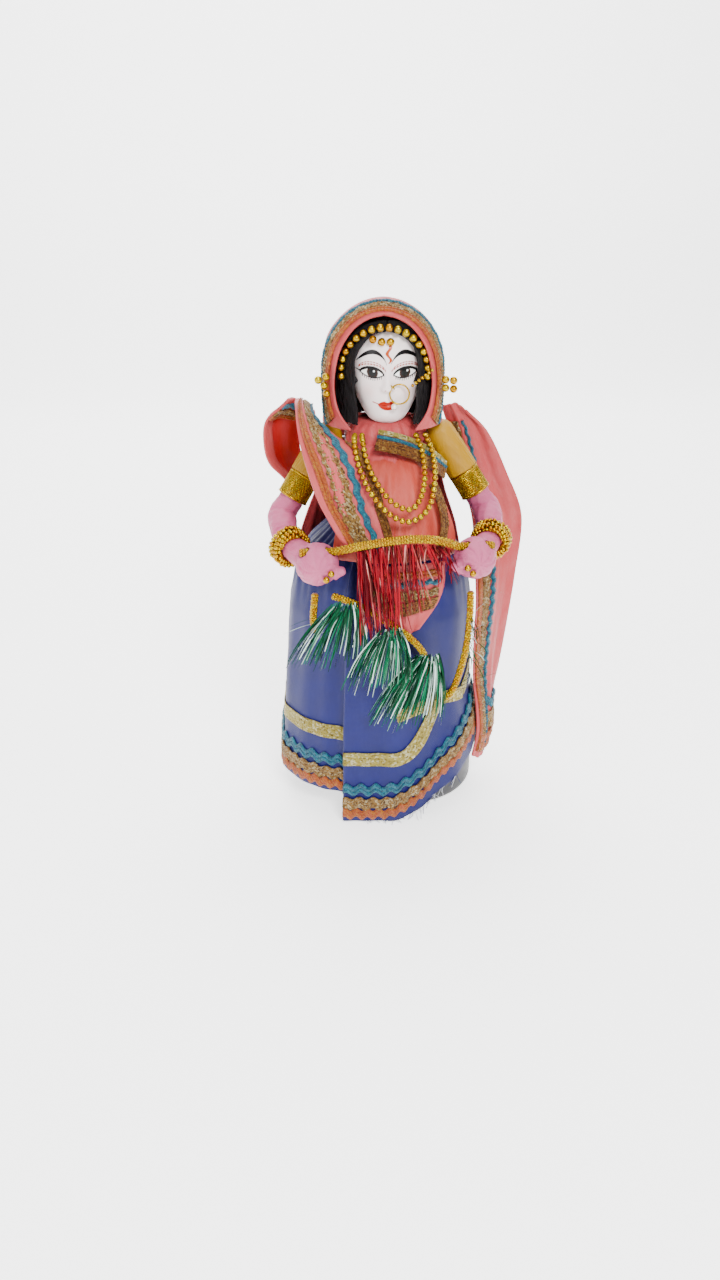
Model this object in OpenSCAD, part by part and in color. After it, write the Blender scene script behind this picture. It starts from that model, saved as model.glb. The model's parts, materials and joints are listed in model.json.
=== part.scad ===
// Dressed bride doll in the Rajasthani kathputli style, holding a garland.
// Millimetres, +Z up. The doll faces -Y, so its own left is +X.
// Origin: centre of the underside of the round base.

/* [Base] */
// Radius of the round base cup
base_r = 33; // [32:0.5:34]
// Height of the base cup
base_h = 31; // [28:0.5:32]
// Wall thickness of the base cup
base_wall = 1.6; // [1.2:0.1:2.4]
// Radius of the rounded lower edge of the base cup
base_round = 4; // [2:0.5:6]
// Distance of the figure's axis to one side of the base centre
fig_off = 12; // [10:0.5:13]

/* [Body core] */
// Radius of the wooden core dowel
dowel_r = 4; // [3.5:0.1:4.5]
// Radius of the peg that the head turns on
peg_r = 3; // [2.5:0.1:3.2]
// Radius of the torso form at the chest
torso_r = 15.5; // [14:0.5:15.5]
// Thickness of the blouse cloth
blouse_t = 1.2; // [0.6:0.1:1.4]
// Radius of the steel wire through the shoulders
wire_r = 0.8; // [0.6:0.1:1]

/* [Skirt] */
// Radius of the skirt half way up
skirt_r = 43.5; // [43:0.1:44]
// Height of the gathered waist
waist_z = 138; // [136:0.5:139]
// Lowest point of the hem above the floor
hem_z = 3; // [2:0.5:5]
// Rise of the hem on the doll's left side
hem_rise = 24; // [18:1:25]
// Thickness of the skirt cloth
skirt_t = 0.9; // [0.6:0.1:1]

/* [Head] */
// Height of the chin above the floor
chin_z = 181; // [180.5:0.5:182]
// Height of the crown of the head above the floor
crown_z = 223; // [221:0.5:223]
// Half width of the head at the cheeks
head_r = 14.5; // [13.5:0.1:14.6]
// Height of the top of the hood above the floor
hood_z = 229; // [228:0.5:230]
// Radius of the hood
hood_r = 25.6; // [25:0.1:26]
// Thickness of the hood cloth
hood_t = 1.5; // [1:0.1:1.8]
// Angle that the head is turned to the doll's right at rest
head_yaw = 7; // [0:1:10]

/* [Arms] */
// Radius of the stuffed upper arm
arm_r = 5; // [4.5:0.1:5]
// Outer radius of the blouse sleeve
sleeve_r = 6.6; // [6:0.1:7]
// Outer radius of the gold mesh cuff
cuff_r = 7; // [6.2:0.1:7.2]
// Radius of the stuffed fist
fist_r = 9.2; // [8.5:0.1:9.4]
// Radius of the bracelet ring's tube
bangle_t = 2; // [1.5:0.1:2.2]

/* [Jewellery] */
// Radius of a necklace bead
bead_r = 1.25; // [1:0.05:1.3]
// Radius of a headband bead
band_bead_r = 1.6; // [1.3:0.05:1.7]
// Radius of the nose ring
nath_r = 4; // [3.5:0.1:4.2]

/* [Garland] */
// Radius of the garland's rope
rope_r = 1.7; // [1.4:0.1:1.8]
// Radius of the hole that each fist holds the rope in
grip_r = 2; // [1.9:0.05:2.2]

/* [Cloth] */
// Thickness of the veil cloth
veil_t = 1.2; // [0.8:0.1:1.4]
// Thickness of the braid sewn on the cloth
braid_t = 0.8; // [0.5:0.1:1]

/* [Hidden] */
$fn = 48;
gap = 0.15;
wire_gap = 0.06;
cloth_lift = veil_t / 2 + gap + braid_t / 2;

// Joint centres of the arm on the +X side, measured from the figure's axis
shoulder = [25, 0, 172];
elbow = [46, -5, 139];
mid_forearm = [46, -15, 134.5];
wrist = [44, -25, 131];
fist = [33.5, -40, 128];
grip = [33.5, -42, 134];
elbow_ball = 4.6;
elbow_ring = 5.5;
elbow_wire_r = 0.5;
forearm_r = 5.6;
wrist_r = 4.9;
sleeve_len = 19;
cuff_len = 11.5;

// Height of the stuffing's top and of the torso above it
stuffing_top = 133;
torso_top = 173.5;
neck_bottom = 174.5;
neck_r = 5;
peg_top = 196;
hood_bottom = 178.6;
hood_shift = -1;
hair_r = 19.2;
hair_z = 205;

// Control points of the cloth, from the lower edge up and from -X to +X
band_rows = [
    [[-21, -42.2, 135], [-12, -44.2, 133], [-1, -44.6, 132]],
    [[-26, -41, 142], [-15, -43, 140], [-2, -43.4, 139]],
    [[-32, -37, 153], [-20, -39, 151], [-5, -38.5, 149]],
    [[-36, -32, 165], [-23, -35, 163], [-8, -33, 161]],
    [[-39, -21, 178], [-29, -26, 177], [-14, -26, 171]],
    [[-39, -8, 187], [-34, -10, 185], [-29, -12, 179]],
    [[-38, 6, 187.5], [-33.5, 8, 185.5], [-29.5, 8, 182]],
];
loop_rows = [
    [[-43, 10, 150], [-38, 15, 150], [-33, 18, 152]],
    [[-50, 10.5, 158], [-43, 18, 158], [-35, 21, 159]],
    [[-53, 10.5, 169], [-45, 19, 169], [-36, 22, 168]],
    [[-50, 11.5, 179], [-43, 18, 178], [-34, 21, 176]],
    [[-41, 10, 187], [-36, 15, 185], [-31, 19, 181]],
];
tail_rows = [
    [[-1, -46, 97], [4, -46, 96.5], [9, -46, 99]],
    [[-8, -46.2, 108], [3, -46.4, 107], [17, -44.5, 110]],
    [[-14, -45.6, 119], [2, -46.6, 119], [20, -43.5, 119]],
    [[-17, -45, 128], [2, -46.6, 128], [20, -42.5, 128]],
];
side_rows = [
    [[44, -17, 18], [49, -13, 14], [54, -3, 22]],
    [[46.5, -18, 31], [51, -13, 30], [56, -2, 33]],
    [[45.5, -17, 45], [50, -11, 45], [56, 0, 45]],
    [[43.5, -14, 60], [50, -8, 60], [59, 2, 60]],
    [[44, -8, 83], [52, -2, 83], [62, 6, 83]],
    [[45, 0, 102], [54, 5, 102], [65, 9, 103]],
    [[44, 12, 129], [54, 12, 129], [68, 12, 129]],
    [[37, 16, 150], [47, 13, 150], [60, 14, 150]],
    [[32, 17, 170], [40, 14, 171], [50, 14, 169]],
    [[28, 14, 181], [33, 12, 183], [39, 12, 180]],
];

// Routes of the garland's cords and of the bead strings
rope_route = [[-41, -42, 134], [-34, -42, 134], [-27, -42, 134], [-24.5, -43, 134.6],
    [-20.5, -46.6, 136.6], [-15, -49.4, 138.6], [-5, -50.8, 140.4], [4, -51, 141], [13, -50.6, 140.3], [20.5, -46.8, 137.3],
    [24.5, -43.1, 134.8], [27, -42, 134], [34, -42, 134], [41, -42, 134]];
loop_route = [[-28, -46, 116], [-22, -48.3, 114.5], [-15, -48.8, 111], [-6, -49, 105], [3, -49, 98],
    [10, -48.8, 90], [13.5, -48.8, 80], [14.5, -48.8, 72], [17, -48.6, 67], [21, -48.4, 66.2],
    [24.5, -48, 70], [27.5, -47.5, 79], [30, -46.6, 90], [31, -46, 103], [31, -45.5, 115]];
tail_route = [[-35, -45, 117], [-35.5, -45.5, 112], [-36, -45.5, 106], [-35.5, -45.5, 100]];
outer_string = [[-15, -17, 176], [-16, -24, 175.6], [-16, -30, 171.5], [-14.5, -35, 165], [-11, -40.5, 157.5],
    [-4, -45.5, 150], [4, -46.5, 147], [12, -43, 151], [16, -35, 160], [17, -25, 169], [15, -17, 175.5]];
inner_string = [[-12, -17.5, 176], [-12.5, -25, 174.5], [-12, -31, 169.5], [-9.5, -36.5, 163], [-3.5, -43, 155],
    [4, -44.5, 151.5], [9, -41.5, 155], [12, -34, 162], [12.5, -25, 170], [11, -17.5, 175.5]];

// ---- Shape helpers ----

function mix(a, b, t) = a + (b - a) * t;

function unit(a) = a / norm(a);

// One span of a smooth curve through b and c
function span(a, b, c, d, t) =
    0.5 * (2 * b + (c - a) * t + (2 * a - 5 * b + 4 * c - d) * t * t + (3 * b - a - 3 * c + d) * t * t * t);

// Point at share t of the smooth curve through all the points
function along(points, t) =
    let (n = len(points) - 1)
    let (i = max(0, min(floor(t * n), n - 1)))
    let (before = i > 0 ? points[i - 1] : 2 * points[0] - points[1])
    let (after = i + 2 <= n ? points[i + 2] : 2 * points[n] - points[n - 1])
    span(before, points[i], points[i + 1], after, t * n - i);

// Shares of a curve at count evenly spaced stations
function stations(points, count) =
    let (fine = 160)
    let (reach = [for (i = 0, s = 0; i <= fine; i = i + 1,
        s = s + norm(along(points, i / fine) - along(points, (i - 1) / fine))) [s, i / fine]])
    [for (k = [0:count - 1]) lookup(reach[fine][0] * k / (count - 1), reach)];

// Point and unit normal of a cloth patch
function spot(rows, u, v) = along([for (row = rows) along(row, u)], v);

function facing(rows, u, v) =
    unit(cross(spot(rows, u + 0.01, v) - spot(rows, u - 0.01, v),
        spot(rows, u, v + 0.01) - spot(rows, u, v - 0.01)));

// Closed solid between an outer and an inner surface over one grid
module between(nu, nv, outer, inner, ring = false) {
    cols = ring ? nu : nu + 1;
    front = [for (j = [0:nv]) for (i = [0:cols - 1]) outer(i / nu, j / nv)];
    back = [for (j = [0:nv]) for (i = [0:cols - 1]) inner(i / nu, j / nv)];
    n = len(front);
    at = function(i, j) j * cols + i % cols;
    skins = [for (j = [0:nv - 1]) for (i = [0:nu - 1]) each [
        [at(i, j), at(i, j + 1), at(i + 1, j + 1)],
        [at(i, j), at(i + 1, j + 1), at(i + 1, j)],
        [n + at(i, j), n + at(i + 1, j + 1), n + at(i, j + 1)],
        [n + at(i, j), n + at(i + 1, j), n + at(i + 1, j + 1)]]];
    rims = [for (i = [0:nu - 1]) each [
        [at(i, 0), at(i + 1, 0), n + at(i + 1, 0)],
        [at(i, 0), n + at(i + 1, 0), n + at(i, 0)],
        [at(i + 1, nv), at(i, nv), n + at(i, nv)],
        [at(i + 1, nv), n + at(i, nv), n + at(i + 1, nv)]]];
    ends = ring ? [] : [for (j = [0:nv - 1]) each [
        [at(0, j + 1), at(0, j), n + at(0, j)],
        [at(0, j + 1), n + at(0, j), n + at(0, j + 1)],
        [at(nu, j), at(nu, j + 1), n + at(nu, j + 1)],
        [at(nu, j), n + at(nu, j + 1), n + at(nu, j)]]];
    polyhedron(concat(front, back), concat(skins, rims, ends), convexity = 8);
}

// Cloth of even thickness over part of a patch, raised off it by lift
module sheet(rows, nu, nv, thick = veil_t, lift = 0, us = [0, 1], vs = [0, 1]) {
    layer = function(p, q, rise)
        let (u = mix(us[0], us[1], p), v = mix(vs[0], vs[1], q))
        spot(rows, u, v) + facing(rows, u, v) * rise;
    between(nu, nv, function(p, q) layer(p, q, lift + thick / 2),
        function(p, q) layer(p, q, lift - thick / 2));
}

// Round cord swept along a smooth curve
module cord(route, r, rings, sides = 8) {
    heart = [for (i = [0:rings]) along(route, i / rings)];
    points = [for (i = [0:rings])
        let (ahead = unit(heart[min(i + 1, rings)] - heart[max(i - 1, 0)]))
        let (across = unit(cross(ahead, [0, 1, 0])), up = cross(across, ahead))
        for (k = [0:sides - 1])
            heart[i] + r * (across * cos(360 * k / sides) + up * sin(360 * k / sides))];
    walls = [for (i = [0:rings - 1]) for (k = [0:sides - 1])
        let (a = i * sides + k, b = i * sides + (k + 1) % sides) each [
        [a, b, b + sides], [a, b + sides, a + sides]]];
    first = [for (k = [sides - 1:-1:0]) k];
    last = [for (k = [0:sides - 1]) rings * sides + k];
    polyhedron(points, concat(walls, [first, last]), convexity = 8);
}

// Beads in a row along a smooth curve
module beads(route, r, count) {
    for (t = stations(route, count)) translate(along(route, t)) sphere(r, $fn = 24);
}

// Cone or cylinder from one point to another
module limb(a, b, r1, r2) {
    d = b - a;
    translate(a) rotate([0, acos(d[2] / norm(d)), atan2(d[1], d[0])]) cylinder(h = norm(d), r1 = r1, r2 = r2);
}

module torus(ring_r, tube_r) {
    rotate_extrude() translate([ring_r, 0]) circle(tube_r, $fn = 24);
}

// Frames: figure axis, head at its resting turn, and the arm of one side
module on_figure() {
    translate([-fig_off, 0, 0]) children();
}

module on_head() {
    on_figure() rotate([0, 0, -head_yaw]) children();
}

module on_side(side) {
    on_figure() mirror([side < 0 ? 1 : 0, 0, 0]) children();
}

// ---- Base and core ----

module rounded_disc(r, h, edge) {
    rotate_extrude($fn = 96) {
        square([r - edge, h]);
        translate([0, edge]) square([r, h - edge]);
        translate([r - edge, edge]) circle(edge);
    }
}

module base_cup() {
    color([0.1, 0.1, 0.11]) difference() {
        rounded_disc(base_r, base_h, base_round);
        translate([0, 0, base_wall]) cylinder(h = base_h, r = base_r - base_wall - base_round / 2, $fn = 96);
        translate([0, 0, base_round]) cylinder(h = base_h, r = base_r - base_wall, $fn = 96);
    }
}

module dowel_hole(r) {
    on_figure() translate([0, 0, 8]) cylinder(h = 200, r = r);
}

module ballast_plug() {
    color([0.85, 0.84, 0.8]) difference() {
        translate([0, 0, base_round + gap])
            cylinder(h = base_h - base_round - 2 * gap, r = base_r - base_wall - gap, $fn = 96);
        dowel_hole(dowel_r + wire_gap);
    }
}

module core_dowel() {
    color([0.78, 0.62, 0.42]) on_figure() difference() {
        union() {
            translate([0, 0, 8.5]) cylinder(h = torso_top - 8.5, r = dowel_r);
            cylinder(h = peg_top, r = peg_r);
        }
        translate([0, 0, -1]) cylinder(h = 9.5, r = dowel_r);
        wire_bore(wire_r + wire_gap);
    }
}

module skirt_stuffing() {
    color([0.8, 0.76, 0.66]) difference() {
        on_figure() rotate_extrude($fn = 96)
            polygon([[0, base_h + gap], [35, base_h + gap], [36.5, base_h + 4], [36, 98], [33, 112],
                [26, 124], [17, stuffing_top], [0, stuffing_top]]);
        dowel_hole(dowel_r + wire_gap);
    }
}

module wire_bore(r) {
    translate([-35, 0, shoulder[2]]) rotate([0, 90, 0]) cylinder(h = 70, r = r);
}

module torso_outline(grow) {
    polygon([[0, 134 - grow], [14.5 + grow, 134 - grow], [14.5 + grow, 142], [torso_r + grow, 152],
        [torso_r + grow, 163], [torso_r - 2 + grow, 168.5 + grow], [8.5 + grow, 172 + grow],
        [6, torso_top], [0, torso_top]]);
}

module torso_form() {
    color([0.86, 0.78, 0.62]) on_figure() difference() {
        rotate_extrude($fn = 64) torso_outline(0);
        cylinder(h = 200, r = dowel_r + wire_gap);
        wire_bore(wire_r + wire_gap);
    }
}

module shoulder_wire() {
    color([0.7, 0.7, 0.72]) on_figure()
        translate([-31.5, 0, shoulder[2]]) rotate([0, 90, 0]) cylinder(h = 63, r = wire_r);
}

module choli_bodice() {
    color([0.98, 0.8, 0.05]) on_figure() difference() {
        rotate_extrude($fn = 64) difference() {
            torso_outline(blouse_t + gap);
            torso_outline(gap);
            translate([0, 130]) square([30, 11]);
            translate([0, 169.5]) square([30, 10]);
        }
        wire_bore(wire_r + 0.5);
    }
}

// ---- Skirt ----

// Height of the cloth's lower edge and of the braid's lower edge; both step up behind the overlap at 247 degrees
function hem(a) = hem_z + hem_rise * lookup(a, [[0, 0.8], [60, 0.6], [120, 0.46], [180, 0.45], [242, 0.41],
    [247, -0.08], [275, -0.08], [290, 0.1], [305, 0.3], [320, 0.46], [340, 0.68], [360, 0.8]]);

function braid_low(a) = hem_z + hem_rise * lookup(a, [[0, 1.25], [60, 0.92], [120, 0.56], [180, 0.5], [242, 0.46],
    [247, -0.05], [268, -0.04], [280, 0.1], [292, 0.34], [305, 0.63], [318, 0.9], [335, 1.12], [360, 1.25]]);

function right_share(a) = pow(max(0, cos(a - 5)), 2);

function skirt_out(a, z) =
    let (waist = lookup(z, [[0, 1.2], [40, 0.6], [73, 0], [98, -0.3], [112, -2.5], [120, -6], [126, -10.5],
        [131, -16], [waist_z, -23.5]]))
    let (low = lookup(z, [[0, 1], [32, 1], [58, 0], [200, 0]]))
    let (pleat = exp(-pow((a - 247) / 7, 2)) * lookup(z, [[0, 4], [100, 4], [120, 1], [130, 0]]))
    let (waves = 0.7 * cos(9 * a + 40) * lookup(z, [[0, 1], [110, 1], [135, 0.4]]))
    let (flare = pow(max(0, cos(a - 190)), 1.5) * lookup(z, [[0, 5.3], [30, 4.6], [100, 0.3], [140, 0]]))
    skirt_r + waist + flare - 2.3 * right_share(a) * (1 - low) + 3.4 * right_share(a) * low - pleat
        + waves * (1 - 0.7 * right_share(a));

function round_skirt(a, z, rise) = [(skirt_out(a, z) + rise) * cos(a), (skirt_out(a, z) + rise) * sin(a), z];

module skirt() {
    height = function(a, v) mix(hem(a), waist_z, 1 - pow(1 - v, 1.35));
    color([0.14, 0.2, 0.66]) on_figure() between(80, 14,
        function(u, v) round_skirt(360 * u, height(360 * u, v), 0),
        function(u, v) round_skirt(360 * u, height(360 * u, v), -skirt_t), ring = true);
}

// Braid sewn round the skirt between two heights above its lowest braid's edge
module skirt_band(low, high, thick, lift = gap) {
    z = function(a, v) braid_low(a) + mix(low, high, v);
    on_figure() between(80, 2,
        function(u, v) round_skirt(360 * u, z(360 * u, v), lift + thick),
        function(u, v) round_skirt(360 * u, z(360 * u, v), lift), ring = true);
}

module skirt_gold_ribbon() {
    color([0.85, 0.8, 0.5]) skirt_band(27.2, 33.8, 0.5, 0.75);
}

module skirt_teal_braid() {
    color([0, 0.58, 0.68]) skirt_band(12.8, 19.2, braid_t);
}

module skirt_zari_braid() {
    color([0.72, 0.58, 0.4]) skirt_band(6.5, 12.4, braid_t);
}

module skirt_orange_braid() {
    color([0.92, 0.47, 0.12]) skirt_band(0.2, 6.2, braid_t);
}

// ---- Veil and drapes ----

module neck_wrap() {
    color([0.95, 0.55, 0.53]) on_figure() difference() {
        rotate_extrude($fn = 64)
            polygon([[8.6, 174], [15.6, 169], [17.4, 170.5], [16.6, 175.2], [13.5, 178.2], [8.2, 178]]);
        wire_bore(wire_r + 0.5);
    }
}

module shoulder_loop() {
    color([0.96, 0.36, 0.34]) on_figure() sheet(loop_rows, 6, 10);
}

module shoulder_band() {
    color([0.96, 0.6, 0.57]) on_figure() sheet(band_rows, 8, 16);
}

module band_trim(us) {
    on_figure() sheet(band_rows, 3, 18, thick = braid_t, lift = cloth_lift, us = us, vs = [0.02, 0.98]);
}

module band_orange_cord() {
    color([0.92, 0.47, 0.12]) band_trim([0.13, 0.26]);
}

module band_zari_braid() {
    color([0.78, 0.66, 0.45]) band_trim([0.28, 0.58]);
}

module band_teal_cord() {
    color([0, 0.58, 0.68]) band_trim([0.6, 0.72]);
}

// Gathered cloth over the belly, from the blouse out to its puffed front
module belly_wrap() {
    front_r = function(z) lookup(z, [[126, 42.6], [132, 42.4], [140, 40.6], [150, 35.5], [160, 29], [167, 22]]);
    back_r = function(z) lookup(z, [[126, 37.5], [131, 31.5], [136, 24.5], [140, 20.5], [142, 17.4], [167, 17.4]]);
    ring_at = function(u, v, r) let (a = mix(226, 314, u), z = mix(127, 167, v)) [r(z) * cos(a), r(z) * sin(a), z];
    color([0.95, 0.45, 0.43]) on_figure()
        between(16, 10, function(u, v) ring_at(u, v, front_r), function(u, v) ring_at(u, v, back_r));
}

module belly_gold_trim() {
    trim_rows = [[[16, -41.6, 133], [19.5, -40, 133]], [[18, -38.8, 142], [21.5, -36.6, 142]],
        [[17, -35.5, 150], [20.5, -33.4, 150]], [[13.5, -32.5, 158], [17.5, -30.3, 158]]];
    color([0.85, 0.68, 0.2]) on_figure() sheet(trim_rows, 2, 10, thick = braid_t, lift = 0.6);
}

module drape_tail() {
    color([0.95, 0.62, 0.58]) on_figure() sheet(tail_rows, 8, 8);
}

module tail_braid() {
    color([0.78, 0.55, 0.3]) on_figure()
        sheet(tail_rows, 8, 3, thick = braid_t, lift = cloth_lift, us = [0.06, 0.94], vs = [0.45, 0.8]);
}

module side_fall() {
    color([0.96, 0.64, 0.62]) on_figure() sheet(side_rows, 6, 22);
}

module side_braid() {
    color([0.82, 0.55, 0.25]) on_figure()
        sheet(side_rows, 3, 24, thick = braid_t, lift = cloth_lift, us = [0.12, 0.5], vs = [0.04, 0.9]);
}

// Veil that hangs down the back from the hood to the skirt
module back_veil() {
    veil_r = function(a, z) lookup(z, [[66, 46.6], [98, 46.4], [112, 45], [124, 41.5], [140, 35], [158, 29.5],
        [170, 26.5], [177.5, 25]]) + 0.9 * cos(12 * a);
    ring_at = function(u, v, rise)
        let (a = mix(28, 146, u), z = mix(66 + 8 * pow(2 * u - 1, 2), 177.5, v), r = veil_r(a, z) + rise)
        [r * cos(a), r * sin(a), z];
    color([0.95, 0.6, 0.58]) on_figure()
        between(32, 12, function(u, v) ring_at(u, v, veil_t), function(u, v) ring_at(u, v, 0));
}

// ---- Necklaces ----

module bead_necklaces() {
    color([0.95, 0.68, 0.05]) on_figure() {
        beads(outer_string, bead_r, 37);
        beads(inner_string, bead_r, 31);
    }
}

module necklace_threads() {
    color([0.6, 0.42, 0.1]) on_figure() {
        cord(outer_string, 0.3, 40, 6);
        cord(inner_string, 0.3, 36, 6);
    }
}

// ---- Head ----

module egg_outline(grow) {
    middle = 204;
    steps = 24;
    polygon([for (i = [0:steps])
        let (a = -90 + 180 * i / steps, half = a < 0 ? middle - chin_z : crown_z - middle)
        [(head_r + grow) * cos(a), middle + (half + grow) * sin(a)]]);
}

module doll_head() {
    color([0.98, 0.93, 0.92]) on_head() difference() {
        union() {
            translate([0, -1.5, 0]) rotate_extrude($fn = 64) egg_outline(0);
            translate([0, 0, neck_bottom]) cylinder(h = 16, r = neck_r);
            limb([0, -12.5, 204], [0, -14.6, 196], 1.4, 2);
            translate([0, -14.6, 196]) sphere(2);
        }
        cylinder(h = peg_top + 0.5, r = peg_r + wire_gap);
    }
}

// Outline of the opening in the hair or the hood, seen from the front
module face_opening(half, top, low) {
    shape = [[0.62, 0], [0.9, 0.16], [1, 0.34], [0.98, 0.52], [0.86, 0.72], [0.62, 0.88], [0.32, 0.97], [0, 1]];
    right = [for (p = shape) [half * p[0], mix(low, top, p[1])]];
    left = [for (i = [len(right) - 2:-1:0]) [-right[i][0], right[i][1]]];
    polygon(concat([[-half * 0.62, low - 10], [half * 0.62, low - 10]], right, left));
}

module front_prism(depth) {
    translate([0, depth, 0]) rotate([90, 0, 0]) linear_extrude(60) children();
}

module hair_wig() {
    color([0.08, 0.07, 0.08]) on_head() difference() {
        rotate_extrude($fn = 64) difference() {
            intersection() {
                union() {
                    translate([0, hair_z]) circle(hair_r, $fn = 64);
                    translate([0, hood_bottom]) square([hair_r, hair_z - hood_bottom]);
                }
                translate([0, hood_bottom]) square([30, 60]);
            }
            square([6, 185]);
        }
        translate([0, -1.5, 0]) rotate_extrude($fn = 64) egg_outline(gap);
        translate([0, 0, 170]) cylinder(h = 20, r = 12);
        front_prism(-4) face_opening(13.4, 218, 178);
    }
}

module hood_outline(grow) {
    middle = 203;
    steps = 20;
    polygon(concat([[0, hood_bottom], [hood_r + grow, hood_bottom]],
        [for (i = [0:steps])
            let (a = 90 * i / steps)
            [(hood_r + grow) * cos(a), middle + (hood_z - middle + grow) * sin(a)]]));
}

module hood_shell(outer, inner) {
    translate([hood_shift, 0, 0]) rotate_extrude($fn = 80) difference() {
        hood_outline(outer);
        hood_outline(inner);
        square([40, hood_bottom + 0.01]);
        translate([0, hood_bottom]) square([hood_r + inner, 3]);
    }
}

module hood_opening(grow) {
    translate([hood_shift, 0]) face_opening(21 + grow, 223.5 + grow * 0.5, 178 - grow);
}

module hood() {
    color([0.96, 0.58, 0.55]) on_head() difference() {
        hood_shell(0, -hood_t);
        front_prism(-2) hood_opening(0);
    }
}

// Braid along the front edge of the hood, between two distances from the edge
module hood_braid(near, far) {
    on_head() difference() {
        hood_shell(gap + braid_t, gap);
        front_prism(-2) hood_opening(near);
        difference() {
            translate([-50, -50, 150]) cube([100, 100, 100]);
            front_prism(-2) hood_opening(far);
        }
    }
}

module hood_orange_cord() {
    color([0.92, 0.47, 0.12]) hood_braid(1, 1.9);
}

module hood_zari_braid() {
    color([0.78, 0.66, 0.45]) hood_braid(2, 2.9);
}

module hood_teal_cord() {
    color([0, 0.58, 0.68]) hood_braid(3, 3.8);
}

// Beads along the hairline and the cluster on the forehead
module bead_headband() {
    arch_r = hair_r + band_bead_r + 3 * gap;
    arch = [for (a = [-96:16:96])
        let (x = 18 * sin(a) - 0.5, z = 201 + 18 * cos(a))
        [x, -sqrt(arch_r * arch_r - x * x - pow(max(0, z - hair_z), 2)) - 0.3, z]];
    color([0.95, 0.68, 0.05]) on_head() {
        beads(arch, band_bead_r, 18);
        for (p = [[-1.8, -16, 213.4], [1.8, -16, 213.4], [-5.4, -16.4, 214.4]])
            translate(p) sphere(band_bead_r, $fn = 24);
    }
}

// Hook in the nostril and the leaf-shaped chain from it to the hair
module nath_chain() {
    color([0.9, 0.7, 0.15]) on_head() {
        translate([2.9, -17.3, 195.6]) rotate([0, 46, 0]) torus(1, 0.25);
        for (i = [0:6]) {
            t = i / 6;
            translate([11 + 8 * t, -17.6 + t, 196.4 + 6 * t]) scale(1 - 0.15 * abs(1 - 2 * t)) sphere(0.8, $fn = 24);
        }
    }
}

module nose_ring() {
    color([0.9, 0.7, 0.15]) on_head() translate([5.7, -17.3, 192.8]) rotate([90, 0, 0]) torus(nath_r, 0.35);
}

module nose_pearl() {
    color([0.97, 0.95, 0.9]) on_head() translate([3.6, -17.3, 187.6]) sphere(1.3, $fn = 24);
}

module earring(places) {
    color([0.95, 0.68, 0.05]) on_head()
        for (p = places) translate([p[0], -16.5, p[1]]) sphere(band_bead_r, $fn = 24);
}

module left_earring() {
    earring([[24.6, 198.6], [27.9, 198.2], [24.7, 195.2], [28, 194.8]]);
}

module right_earring() {
    earring([[-24.6, 199.6], [-27.8, 198.4], [-25.4, 196.2], [-24.4, 192.8]]);
}

// ---- Arms ----

module arm_core(side) {
    color([0.92, 0.62, 0.74]) on_side(side) difference() {
        union() {
            translate(shoulder) sphere(arm_r);
            limb(shoulder, mix(elbow, shoulder, 0.12), arm_r, arm_r);
        }
        translate(elbow) sphere(elbow_ring + elbow_wire_r + 0.05);
        wire_bore(wire_r + wire_gap);
    }
}

module sleeve(side) {
    tip = mix(shoulder, elbow, sleeve_len / norm(elbow - shoulder));
    color([0.98, 0.8, 0.05]) on_side(side) difference() {
        union() {
            translate(shoulder) sphere(sleeve_r);
            limb(shoulder, tip, sleeve_r, sleeve_r + 0.2);
        }
        translate(shoulder) sphere(arm_r + gap);
        limb(shoulder, elbow, arm_r + gap, arm_r + gap);
        wire_bore(wire_r + 0.5);
    }
}

module cuff(side) {
    reach = norm(elbow - shoulder);
    top = mix(shoulder, elbow, (sleeve_len + gap) / reach);
    tip = mix(shoulder, elbow, (sleeve_len + cuff_len) / reach);
    color([0.78, 0.6, 0.15]) on_side(side) difference() {
        limb(top, tip, cuff_r, cuff_r);
        limb(shoulder, elbow, arm_r + gap, arm_r + gap);
    }
}

// Wire ring above the elbow ball with the pin that the ball turns on
module elbow_wire(side) {
    lean = atan2(shoulder[1] - elbow[1], shoulder[2] - elbow[2]);
    color([0.7, 0.7, 0.72]) on_side(side) translate(elbow) rotate([-lean, 0, 0]) {
        rotate([90, 0, 0]) rotate_extrude(angle = 180) translate([elbow_ring, 0]) circle(elbow_wire_r, $fn = 24);
        translate([-elbow_ring, 0, 0]) rotate([0, 90, 0]) cylinder(h = 2 * elbow_ring, r = elbow_wire_r);
    }
}

module forearm(side) {
    color([0.92, 0.62, 0.74]) on_side(side) difference() {
        union() {
            translate(elbow) sphere(elbow_ball);
            limb(elbow, mid_forearm, elbow_ball - 0.3, forearm_r - 0.3);
            translate(mid_forearm) sphere(forearm_r);
            limb(mid_forearm, wrist, forearm_r - 0.3, wrist_r - 0.3);
            translate(wrist) sphere(wrist_r);
        }
        translate(elbow - [10, 0, 0]) rotate([0, 90, 0]) cylinder(h = 20, r = elbow_wire_r + wire_gap);
    }
}

module hand(side) {
    color([0.92, 0.62, 0.74]) on_side(side) difference() {
        union() {
            translate(fist) sphere(fist_r);
            limb(wrist, fist, wrist_r, 7);
            limb([27, -43, 124.5], [24, -44.5, 126], 3, 2.2);
            translate([24, -44.5, 126]) sphere(2.3);
        }
        translate(wrist) sphere(wrist_r + gap);
        translate([10, grip[1], grip[2]]) rotate([0, 90, 0]) cylinder(h = 50, r = grip_r);
    }
}

module bangles(side) {
    axis = fist - mid_forearm;
    color([0.95, 0.68, 0.05]) on_side(side) for (shift = [-1.8, 1.8])
        translate(wrist + unit(axis) * shift)
            rotate([0, acos(axis[2] / norm(axis)), atan2(axis[1], axis[0])]) torus(wrist_r + bangle_t, bangle_t);
}

module finger_ring(side) {
    color([0.95, 0.68, 0.05]) on_side(side)
        for (p = [[28.5, -48.6, 126.6], [30.6, -49.4, 124.4]]) translate(p) sphere(1.4, $fn = 24);
}

// ---- Garland ----

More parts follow.
